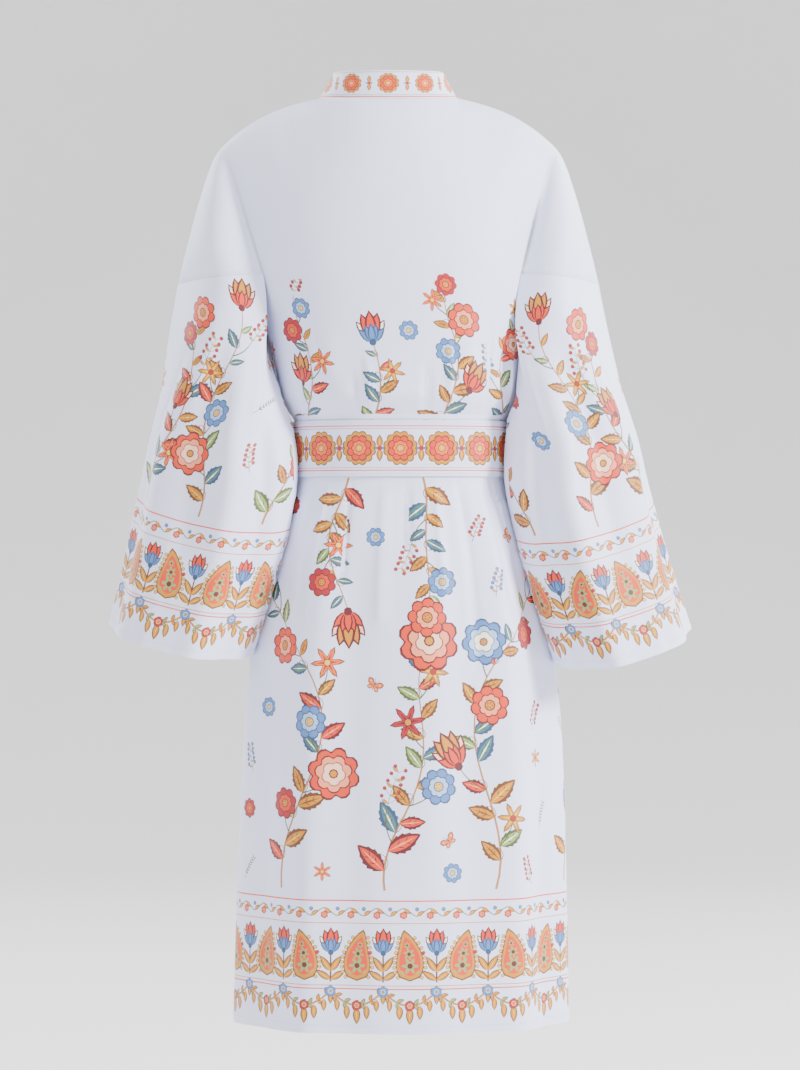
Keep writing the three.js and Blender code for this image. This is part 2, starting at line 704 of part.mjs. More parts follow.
// A tail hangs from the knot and lies on the lapped fronts.
function buildTail({ name, atKnot, atEnd, stack, end }) {
  const cloth = new Cloth();
  const start = KNOT.z - KNOT.halfTall - SEAM_GAP;
  const atKnotLift = BELT_LIFT + BELT_CLOTH + SEAM_GAP + KNOT.halfDeep + TAIL_THICK / 2;
  const across = 4;
  const lines = [];
  for (let i = 0; i <= STEPS.tail; i++) {
    const part = i / STEPS.tail;
    const z = mix(start, end, part);
    const centre = mix(atKnot, atEnd, part);
    const wide = TAIL_WIDE * mix(0.8, 1, ease(0, 0.25, part));
    const fallen = ease(start, start - TAIL_FALL, z);
    const lift = mix(atKnotLift, TAIL_THICK + TAIL_LIFT, fallen) + stack * TAIL_STACK;
    const line = [];
    for (let j = 0; j <= across; j++) {
      const x = centre + wide * (0.5 - j / across);
      line.push(bodyPoint(frontTurn(x, z), z, OVER_LIFT + lift));
    }
    lines.push(line);
  }
  cloth.grid(lines, true);
  piece(name, cloth.wall(TAIL_THICK), ORANGE);
}

buildBack();
buildFront(1, "front_left");
buildFront(-1, "front_right");
buildSleeve(1, "sleeve_left");
buildSleeve(-1, "sleeve_right");
buildBackBand();
buildFrontBand(1, "neckband_left");
buildFrontBand(-1, "neckband_right");
buildBelt();
buildKnot();
TAILS.forEach(buildTail);

export default coat;
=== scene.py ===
# A belted kimono coat as it hangs when worn, made round its fixed solids and seen from behind.
# Tables and sizes are in millimetres, as on the pattern. Meshes are in metres.
import json
import math
import bpy
import numpy as np
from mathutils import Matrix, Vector
from mathutils.geometry import delaunay_2d_cdt

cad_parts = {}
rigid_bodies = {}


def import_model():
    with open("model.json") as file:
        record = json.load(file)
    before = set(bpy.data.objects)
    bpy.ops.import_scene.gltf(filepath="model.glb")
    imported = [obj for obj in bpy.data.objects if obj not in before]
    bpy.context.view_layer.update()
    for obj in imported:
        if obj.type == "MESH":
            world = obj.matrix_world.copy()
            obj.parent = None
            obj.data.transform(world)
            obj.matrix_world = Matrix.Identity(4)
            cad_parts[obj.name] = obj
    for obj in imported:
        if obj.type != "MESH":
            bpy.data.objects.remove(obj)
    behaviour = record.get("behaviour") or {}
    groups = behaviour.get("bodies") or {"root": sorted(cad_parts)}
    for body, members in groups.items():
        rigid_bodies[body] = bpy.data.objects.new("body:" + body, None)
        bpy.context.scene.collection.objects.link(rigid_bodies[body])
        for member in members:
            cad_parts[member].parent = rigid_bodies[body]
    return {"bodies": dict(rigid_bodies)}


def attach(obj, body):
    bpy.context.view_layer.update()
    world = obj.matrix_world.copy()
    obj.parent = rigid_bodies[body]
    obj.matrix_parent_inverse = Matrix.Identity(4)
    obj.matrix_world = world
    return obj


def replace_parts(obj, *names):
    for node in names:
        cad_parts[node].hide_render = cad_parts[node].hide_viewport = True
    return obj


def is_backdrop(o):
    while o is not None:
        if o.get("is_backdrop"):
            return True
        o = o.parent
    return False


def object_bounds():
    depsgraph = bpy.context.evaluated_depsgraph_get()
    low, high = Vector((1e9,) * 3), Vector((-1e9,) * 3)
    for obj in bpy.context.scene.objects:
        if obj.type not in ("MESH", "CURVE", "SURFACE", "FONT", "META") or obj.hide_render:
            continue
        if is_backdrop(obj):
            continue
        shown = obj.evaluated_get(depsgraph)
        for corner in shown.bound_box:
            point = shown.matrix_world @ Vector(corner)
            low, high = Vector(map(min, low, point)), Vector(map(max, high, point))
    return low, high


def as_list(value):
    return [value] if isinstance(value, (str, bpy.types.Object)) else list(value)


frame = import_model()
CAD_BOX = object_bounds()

bl_info = {
    "name": "Kimono Coat",
    "version": (1, 0, 0),
    "blender": (4, 5, 0),
    "location": "View3D > Sidebar > Coat",
    "description": "Cuts, drapes and prints a belted kimono coat",
    "category": "Add Mesh",
}

MM = 0.001
(BODY,) = frame["bodies"]
COAT_SLOT = "coat_cloth"
BAND_SLOT = "band_cloth"
PRINT = "print"
TAU = 2 * math.pi
HALF = math.pi / 2

# Cloth and seams
SEAM_GAP = 0.3
SEAM_TURN = 0.0008

# Heights below the shoulder line at the neck
NECK_SIDE_Z = 2
ARMHOLE_Z = -212
ARM_SEAM_Z = -220
BELT_TOP = -386
BELT_FOOT = -454
HEM_Z = -1100

# Round sections: 2 would be an ellipse, more is squarer
BODY_ROUND = 2.3
SLEEVE_ROUND = 2.15


def power(x, n):
    """A power that keeps the sign."""
    return np.sign(x) * np.abs(x) ** n


def mix(a, b, t):
    return a + (b - a) * t


def ease(start, end, x):
    """A smooth step from 0 at start to 1 at end."""
    t = np.clip((x - start) / (end - start), 0, 1)
    return t * t * (3 - 2 * t)


def stack(*parts):
    """Points from their three coordinates."""
    return np.stack(np.broadcast_arrays(*[np.asarray(p, float) for p in parts]), -1)


class Table:
    """Rows read at any place of their first column, in smooth steps that never overshoot a row."""

    def __init__(self, names, rows):
        self.names = names.split()[1:]
        data = np.array(sorted(rows), float)
        self.at = data[:, 0]
        self.data = data[:, 1:]
        rise = np.diff(self.data, axis=0) / np.diff(self.at)[:, None]
        slope = np.zeros_like(self.data)
        slope[0], slope[-1] = rise[0], rise[-1]
        a, b = rise[:-1], rise[1:]
        both = np.where(a + b == 0, 1, a + b)
        slope[1:-1] = np.where(a * b > 0, 2 * a * b / both, 0)
        self.slope = slope

    def __call__(self, x):
        x = np.clip(np.asarray(x, float), self.at[0], self.at[-1])
        i = np.clip(np.searchsorted(self.at, x, side="right") - 1, 0, len(self.at) - 2)
        h = self.at[i + 1] - self.at[i]
        t = ((x - self.at[i]) / h)[..., None]
        h = h[..., None]
        found = (
            (2 * t**3 - 3 * t**2 + 1) * self.data[i]
            + (t**3 - 2 * t**2 + t) * h * self.slope[i]
            + (3 * t**2 - 2 * t**3) * self.data[i + 1]
            + (t**3 - t**2) * h * self.slope[i + 1]
        )
        return [found[..., k] for k in range(len(self.names))]


# Half sizes of the coat's body from the armholes to the hem
BODY_SIZES = Table(
    "z middle half back front",
    (
        (-1100, -7, 197, 150, 146),
        (-950, -8, 193, 146, 143),
        (-780, -9, 187, 141, 138),
        (-650, -9, 176, 134, 130),
        (-560, -8, 158, 122, 118),
        (-490, -7, 138, 103, 101),
        (-466, -7, 129, 95, 94),
        (-454, -7, 127, 93, 92),
        (-386, -7, 127, 93, 92),
        (-376, -6, 133, 99, 97),
        (-356, -6, 143, 109, 105),
        (-300, -3, 151, 110, 105),
        (-212, 3, 166, 112, 104),
    ),
)

# The body's main folds: where round it in degrees (0 wearer's left, 90 back, 270 front), from
# which height to which, how wide, how deep (a trough is below 0), and degrees of lean to the metre
BODY_FOLDS = (
    (58, -470, -1100, 7, 5, 0),
    (74, -500, -1100, 8, -4, 0),
    (97, -460, -960, 7, 3, 0),
    (112, -540, -1100, 8, -4, 0),
    (131, -470, -1100, 7, 6, 0),
    (150, -480, -1100, 8, -6, 0),
    (34, -480, -1100, 8, -5, 0),
    (12, -560, -1100, 8, 6, 0),
    (170, -560, -1100, 7, 6, 0),
    (199, -470, -1100, 9, 8, 0),
    (222, -520, -1100, 9, -7, 0),
    (243, -470, -1060, 8, 6, 0),
    (296, -470, -1100, 9, 7, 0),
    (318, -500, -1100, 9, -7, 0),
    (341, -480, -1100, 8, 8, 0),
    (60, -250, -386, 7, 4, 0),
    (86, -290, -386, 6, 4, 0),
    (121, -250, -386, 7, 5, 0),
    (145, -230, -386, 6, -4, 0),
)

# Small creases that the belt gathers above and below itself, and soft ones in the skirt
FINE_FOLDS = (
    (43, -452, -600, 2.2, -3.1, 14),
    (51, -452, -700, 2.6, 2.7, 8),
    (66, -452, -590, 2.0, -2.9, 6),
    (84, -452, -640, 2.4, 2.5, -4),
    (92, -452, -560, 1.8, -2.7, -3),
    (105, -452, -610, 2.2, 2.7, -6),
    (119, -452, -690, 2.6, -2.9, -9),
    (138, -452, -620, 2.2, -3.1, -12),
    (147, -452, -560, 1.8, 2.4, -14),
    (38, -300, -388, 2.4, -3.4, -20),
    (52, -270, -388, 2.2, 2.5, -16),
    (71, -325, -388, 2.0, -2.4, -8),
    (79, -300, -388, 1.9, 2.2, -6),
    (100, -310, -388, 2.2, -2.5, 6),
    (110, -280, -388, 2.0, 2.4, 10),
    (133, -260, -388, 2.4, -3.7, 18),
    (152, -290, -388, 2.0, 2.7, 24),
    (208, -452, -640, 2.4, 3.1, 8),
    (231, -452, -600, 2.2, -2.9, 6),
    (252, -452, -560, 2.0, 2.2, 4),
    (288, -452, -570, 2.0, -2.4, -6),
    (307, -452, -650, 2.4, 2.9, -8),
    (330, -452, -610, 2.2, -3.1, -10),
    (215, -290, -388, 2.2, 3.1, -16),
    (236, -300, -388, 2.0, -2.5, -10),
    (300, -300, -388, 2.2, 2.7, 12),
    (322, -280, -388, 2.2, -3.1, 16),
)
FOLD_EASE = 90
FINE_EASE = 34

# The neck and the shoulder line down to the sleeve seam on the upper arm
NECK_HALF = 82
NECK_BACK = 62
NECK_DIP = 8
TOP_MIDDLE = 8
SHOULDER = Table(
    "run out z",
    (
        (0, 82, 2),
        (39, 120, -8),
        (71, 150, -20),
        (113, 185, -43),
        (145, 207, -66),
        (187, 222, -105),
        (265, 243, -180),
        (306, 253, -220),
    ),
)
SHOULDER_TIP = 128
SHOULDER_END = 306
SHOULDER_FORWARD = 12
CREASE_TURN = math.radians(25)
ARM_BULGE = 42
ARM_SPREAD = 5

# The crease from each shoulder to its armhole: its depth, how low it is deepest (1 is half way),
# its two flanks, and how wide the cloth is
ARM_CREASE = 7
CREASE_LOW = 1.4
CREASE_SHARP = 13
CREASE_SOFT = 34
UPPER_WIDE = 485
CAP_WIDE = 178

# Below its top edge the upper back is softened: over what share of its width, in how many samples,
# how far down that is reached, and how far in from its sides
SOFTEN = 0.1
SOFT_SAMPLES = 9
SOFT_DOWN = 0.3
SOFT_IN = 0.16

# How far from a panel's edge its outward direction is taken, and over what share of the panel
NUDGE = 0.002
REACH = 1e-4

# How a panel's flat pattern is read: places looked up along each line, and rounds of search
LOOK_UPS = 500
LOOK_ROUNDS = 8

# Points of a print closer than this are joined, and the back's grid keeps each second line
MERGE = 0.02
COARSE = 2

# The wrapped fronts
FRONT_SEAM = Table("z across", ((-1100, -45), (-700, -36), (-420, -25), (-212, 30), (2, 82)))
BAND_WIDE = 46
OVER_LIFT = 2.4
UNDER_SINK = 1
LAP_EDGE = 104
LAP_EASE = 22
COLLAR_SIDE = (66, -4, 33)
COLLAR_BACK = (50, 29)

# Sleeves: outer and inner line of each section, half its depth, and how much its back side hangs
SLEEVE_COLUMNS = "down out_x out_y out_z in_x in_y in_z deep hang"
SLEEVES = {
    1: Table(
        SLEEVE_COLUMNS,
        (
            (0.0, 260, -12, -220, 163, 10, -212, 66, 0),
            (0.16, 271, -12, -288, 150, 42, -290, 62, 2),
            (0.35, 284, -12, -372, 128, 62, -374, 64, 4),
            (0.53, 298, -10, -450, 119, 66, -450, 68, 6),
            (0.68, 310, -8, -510, 126, 66, -514, 73, 9),
            (0.84, 322, -6, -568, 144, 62, -588, 78, 12),
            (1.0, 335, -4, -622, 168, 56, -664, 82, 14),
        ),
    ),
    -1: Table(
        SLEEVE_COLUMNS,
        (
            (0.0, 250, -12, -220, 160, 10, -212, 66, 0),
            (0.16, 263, -12, -288, 145, 42, -292, 62, 2),
            (0.35, 280, -12, -372, 136, 60, -376, 64, 4),
            (0.53, 295, -10, -450, 134, 66, -452, 68, 6),
            (0.68, 311, -8, -514, 144, 66, -518, 73, 9),
            (0.84, 328, -6, -570, 163, 62, -594, 78, 12),
            (1.0, 346, -4, -626, 192, 56, -676, 82, 14),
        ),
    ),
}
UNDERARM_FROM = 0.38
UNDERARM_TO = 0.62
SLEEVE_SETTLE = 0.5
SLEEVE_CLEAR = 2.6
BELT_CLEAR = 8
BELT_REACH = 60
CLEAR_FROM = 0.12

# Folds of a sleeve: where round it, from how far down to how far, how wide and how deep
SLEEVE_FOLDS = (
    (0.1, 0.34, 1.1, 0.03, -5),
    (0.17, 0.12, 1.1, 0.03, 5),
    (0.25, 0.04, 0.8, 0.028, -7),
    (0.32, 0.1, 1.1, 0.03, 7),
    (0.4, 0.3, 1.1, 0.028, -6),
    (0.68, 0.1, 1.1, 0.03, 6),
    (0.77, 0.05, 0.9, 0.03, -7),
    (0.86, 0.3, 1.1, 0.03, 5),
)
FINE_SLEEVE_FOLDS = (
    (0.13, 0.1, 0.5, 0.012, -1.6),
    (0.21, 0.0, 0.4, 0.012, 1.8),
    (0.29, 0.25, 0.7, 0.012, -1.6),
    (0.36, 0.05, 0.45, 0.012, 1.6),
    (0.06, 0.5, 1.1, 0.014, 1.6),
    (0.22, 0.6, 1.1, 0.014, 1.5),
    (0.72, 0.05, 0.5, 0.012, 1.6),
    (0.81, 0.3, 0.8, 0.012, -1.6),
    (0.91, 0.1, 0.6, 0.012, 1.6),
)
SLEEVE_FOLD_EASE = 0.2
FINE_SLEEVE_EASE = 0.12

# Belt, knot and tails: a tail is gathered at the knot and has its whole width a share further down
BELT_CLOTH = 2.2
BELT_LIFT = 0.4
KNOT_ROUND = 2.6
KNOT = {"x": -6, "z": -420, "half_wide": 31, "half_tall": 29, "half_deep": 13}
KNOT_GRID = (110, 180)

# Creases between the knot's turns: how high on it (in radians), how much they slant, how deep
KNOT_TURNS = ((-0.62, 0.18, 1.8), (-0.1, -0.3, 1.4), (0.42, 0.22, 2.0), (0.9, -0.1, 1.2))
KNOT_TURN_WIDE = 0.09

# The knot's print: its slant in degrees, its rules' distance from its middle, and its flower's radii
KNOT_LEAN = -24
KNOT_RULE = 22
KNOT_RULE_WIDE = 1.6
KNOT_BLOOM = (17, 16, 12.5, 8, 3.5)
KNOT_PETALS = 8
KNOT_PETAL_DEPTH = 0.1
TAIL_WIDE = 58
TAIL_GATHER = 0.8
TAIL_SPREAD = 0.25
TAIL_THICK = 2.2
TAIL_LIFT = 1.2
TAIL_STACK = TAIL_THICK + 0.4
TAIL_FALL = 110
TAILS = {"belt_tail_left": (10, 34, 0, -790), "belt_tail_right": (-24, -52, 1, -742)}


def fold_sum(folds, degrees, z, ease_over):
    """How far a table of folds pushes cloth out at a turn in degrees and a height."""
    out = np.zeros(np.broadcast(degrees, z).shape)
    for turn, top, foot, wide, deep, lean in folds:
        off = (degrees - turn - lean * (top - z) / 1000 + 180) % 360 - 180
        rise = ease(top, top - ease_over, z)
        fall = 1 if foot <= HEM_Z else ease(foot, foot + ease_over, z)
        out = out + deep * np.exp(-((off / wide) ** 2)) * rise * fall
    return out


def body_fold(turn, z):
    degrees = np.degrees(turn)
    return fold_sum(BODY_FOLDS, degrees, z, FOLD_EASE) + fold_sum(FINE_FOLDS, degrees, z, FINE_EASE)


def body(turn, z, out=0.0):
    """Points of the body's cloth: turn 0 is the wearer's left side, a quarter turn the back."""
    middle, half, back, front = BODY_SIZES(z)
    lift = out + body_fold(turn, z)
    deep = np.where(np.sin(turn) > 0, back, front)
    return stack(
        middle + (half + lift) * power(np.cos(turn), 2 / BODY_ROUND),
        (deep + lift) * power(np.sin(turn), 2 / BODY_ROUND),
        z + 0 * turn,
    )


def front_turn(across, z):
    """The turn at which the front of the body reaches a place across it."""
    middle, half, _, _ = BODY_SIZES(z)
    part = np.clip((across - middle) / half, -1, 1)
    return -np.arccos(power(part, BODY_ROUND / 2))


def clear_of_body(p, gap):
    """Pushes points out of the body's cloth until they are clear of it."""
    middle, half, back, front = BODY_SIZES(p[..., 2])
    deep = np.where(p[..., 1] > 0, back, front)
    x = p[..., 0] - middle
    n = BODY_ROUND / 2
    turn = np.arctan2(power(p[..., 1] / deep, n), power(x / half, n))
    grown = gap + body_fold(turn, p[..., 2])
    reach = np.abs(x / (half + grown)) ** BODY_ROUND + np.abs(p[..., 1] / (deep + grown)) ** BODY_ROUND
    scale = np.maximum(1, 1 / np.maximum(reach, 1e-9) ** (1 / BODY_ROUND))
    return stack(middle + x * scale, p[..., 1] * scale, p[..., 2])


def shoulder(run, side, to_back):
    """Places on the shoulder line, at the edge of the back (1) or of a front (-1)."""
    out, z = SHOULDER(run)
    y = -SHOULDER_FORWARD * run / SHOULDER_END + to_back * SEAM_GAP / 2
    return stack(TOP_MIDDLE + side * out, y, z)


def armhole(part, side, to_back):
    """The armhole from the crease to the arm's outer line, round its back or its front."""
    turn = to_back * (CREASE_TURN if side > 0 else math.pi - CREASE_TURN)
    crease = body(np.array(turn), np.array(float(ARMHOLE_Z)))
    outer = shoulder(np.array(float(SHOULDER_END)), side, to_back)
    swell = np.sin(math.pi * part)
    return stack(
        mix(crease[0], outer[0], part) + side * ARM_SPREAD * swell,
        mix(crease[1], outer[1], part) + to_back * ARM_BULGE * swell,
        mix(ARMHOLE_Z, ARM_SEAM_Z, part),
    )


def yoke(top, foot, part):
    """Cloth that starts level at the shoulder, rounds over and ends upright at the armhole."""
    down = (1 - np.cos(part * HALF))[..., None]
    round_over = np.sin(part * HALF)[..., None]
    share = np.concatenate([down, round_over, down], -1)
    return top + (foot - top) * share


def sleeve_top(side, turn):
    """The ring of the armhole as the sleeve takes it up."""
    points = np.zeros(turn.shape + (3,))
    for to_back in (1, -1):
        here = turn <= UNDERARM_FROM if to_back > 0 else turn >= UNDERARM_TO
        t = turn[here]
        part = 1 - t / UNDERARM_FROM if to_back > 0 else (t - UNDERARM_TO) / (1 - UNDERARM_TO)
        points[here] = armhole(part, side, to_back)
    under = (turn > UNDERARM_FROM) & (turn < UNDERARM_TO)
    t = (turn[under] - UNDERARM_FROM) / (UNDERARM_TO - UNDERARM_FROM)
    angle = mix(CREASE_TURN, -CREASE_TURN, t)
    points[under] = body(angle if side > 0 else math.pi - angle, ARMHOLE_Z + 0 * angle)
    points[..., 2] -= SEAM_GAP
    return points


def sleeve_fold(turn, down):
    out = np.zeros(np.broadcast(turn, down).shape)
    for table, over in ((SLEEVE_FOLDS, SLEEVE_FOLD_EASE), (FINE_SLEEVE_FOLDS, FINE_SLEEVE_EASE)):
        for at, start, end, wide, deep in table:
            off = ((turn - at + 0.5) % 1 - 0.5) / wide
            rise = ease(start, start + over, down)
            fall = 1 if end > 1 else ease(end, end - over, down)
            out = out + deep * np.exp(-off * off) * rise * fall
    return out


def sleeve(side, turn, down):
    """Points of a sleeve: turn runs from its outer line round by the back, down from seam to cuff."""
    turn = turn % 1
    out_x, out_y, out_z, in_x, in_y, in_z, deep, hang = SLEEVES[side](down)
    outer = stack(side * out_x, out_y, out_z)
    inner = stack(side * in_x, in_y, in_z)
    centre = (outer + inner) / 2
    along = outer - centre
    across = stack(-along[..., 1], along[..., 0], 0 * down) * side
    across /= np.linalg.norm(across, axis=-1, keepdims=True)
    angle = turn * TAU
    lift = sleeve_fold(turn, down)
    c, s = (power(f(angle), 2 / SLEEVE_ROUND)[..., None] for f in (np.cos, np.sin))
    length = np.linalg.norm(along, axis=-1)
    p = centre + along * c * (1 + lift / length)[..., None] + across * s * (deep + lift)[..., None]
    p[..., 2] -= s[..., 0] * hang
    top = sleeve_top(side, turn)
    start = SLEEVES[side](0.0)
    share = (1 - np.cos(angle)) / 2
    wider = (out_x - in_x) / (start[0] - start[3])
    top[..., 0] = centre[..., 0] + (top[..., 0] - side * (start[0] + start[3]) / 2) * wider
    top[..., 1] += (out_y + in_y - start[1] - start[4]) / 2
    top[..., 2] += mix(out_z - start[2], in_z - start[5], share)
    p = mix(top, p, ease(0, SLEEVE_SETTLE, down)[..., None])
    z = p[..., 2]
    beside_belt = ease(BELT_TOP + BELT_REACH, BELT_TOP, z) * ease(BELT_FOOT - BELT_REACH, BELT_FOOT, z)
    gap = mix(SEAM_GAP, mix(SLEEVE_CLEAR, BELT_CLEAR, beside_belt), ease(0, CLEAR_FROM, down))
    return clear_of_body(p, gap)


def lap_lift(across, over):
    """How far a front's cloth is lifted off the body's line at a place across it."""
    return (OVER_LIFT if over else -UNDER_SINK) * ease(LAP_EDGE + LAP_EASE, LAP_EDGE, across)


def front(side, turn, z):
    flat = body(turn, z)
    return body(turn, z, lap_lift(side * flat[..., 0], side > 0))


def grid_faces(ids):
    """Two triangles for each cell of a grid of point numbers."""
    a, b, c, d = ids[:-1, :-1], ids[:-1, 1:], ids[1:, 1:], ids[1:, :-1]
    return np.stack([np.stack([a, b, c], -1), np.stack([a, c, d], -1)], 2).reshape(-1, 3)


def grid_edge(ids):
    """The point numbers round a grid, once round from its first corner."""
    return [*ids[0, :-1], *ids[:-1, -1], *ids[-1, :0:-1], *ids[:0:-1, 0]]


def add_object(name, data):
    item = bpy.data.objects.new(name, data)
    bpy.context.scene.collection.objects.link(item)
    return item


def add_piece(name, mesh):
    """Adds a mesh as a piece that rides with the coat's body."""
    piece = add_object(name, mesh)
    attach(piece, BODY)
    return piece


class Cloth:
    """Cloth gathered as points on its outer face, with triangles for its face and for its back."""

    def __init__(self):
        self.points = []
        self.normals = []
        self.flat = []
        self.index = {}
        self.face = []
        self.tones = []
        self.back = []

    def add(self, points, normals, flat):
        """Adds points, joining those that meet, and gives their numbers."""
        ids = []
        for p, n, f in zip(points, normals, flat):
            key = tuple(np.round(p * 100).astype(int))
            if key not in self.index:
                self.index[key] = len(self.points)
                self.points.append(p)
                self.normals.append(n)
                self.flat.append(f)
            ids.append(self.index[key])
        return np.array(ids)

    def cover(self, triangles, tones=None, face=True, back=True):
        t = np.asarray(triangles)
        keep = (t[:, 0] != t[:, 1]) & (t[:, 1] != t[:, 2]) & (t[:, 2] != t[:, 0])
        tones = np.zeros(len(t), int) if tones is None else np.asarray(tones)
        if face:
            self.face.append(t[keep])
            self.tones.append(tones[keep])
        if back:
            self.back.append(t[keep])

    def build(self, name, thick, slot):
        """The cloth as a closed wall, its back a thickness behind its face."""
        face = np.concatenate(self.face)
        back = np.concatenate(self.back)
        tones = np.concatenate(self.tones)
        p = np.array(self.points)
        n = np.array(self.normals)
        n /= np.maximum(np.linalg.norm(n, axis=1, keepdims=True), 1e-9)
        used = np.unique(back)
        new = np.full(len(p), -1)
        new[used] = len(p) + np.arange(len(used))
        edges = {}
        for a, b, c in face:
            for pair in ((a, b), (b, c), (c, a)):
                edges[pair] = True
        rim = [(b, a) for a, b in edges if (b, a) not in edges]
        faces = [tuple(t) for t in face] + [tuple(new[t[::-1]]) for t in back]
        faces += [(a, b, new[b], new[a]) for a, b in rim]
        verts = np.concatenate([p, p[used] - n[used] * thick]) * MM
        mesh = bpy.data.meshes.new(name)
        mesh.from_pydata(verts.tolist(), [], [[int(i) for i in f] for f in faces])
        mesh.shade_smooth()
        colours = np.zeros((len(mesh.loops), 4), np.float32)
        colours[: 3 * len(face)] = np.repeat(TONE_VALUES[tones], 3, axis=0)
        mesh.color_attributes.new(PRINT, "BYTE_COLOR", "CORNER").data.foreach_set("color", colours.ravel())
        flat = np.concatenate([np.array(self.flat), np.array(self.flat)[used]]) * MM
        loops = np.zeros(len(mesh.loops), np.int32)
        mesh.loops.foreach_get("vertex_index", loops)
        mesh.uv_layers.new(name="pattern").data.foreach_set("uv", flat[loops].ravel().astype(np.float32))
        outward = np.concatenate([n, -n[used]])
        mesh.normals_split_custom_set_from_vertices(outward.tolist())
        mesh.materials.append(cloth_material(slot))
        return add_piece(name, mesh)


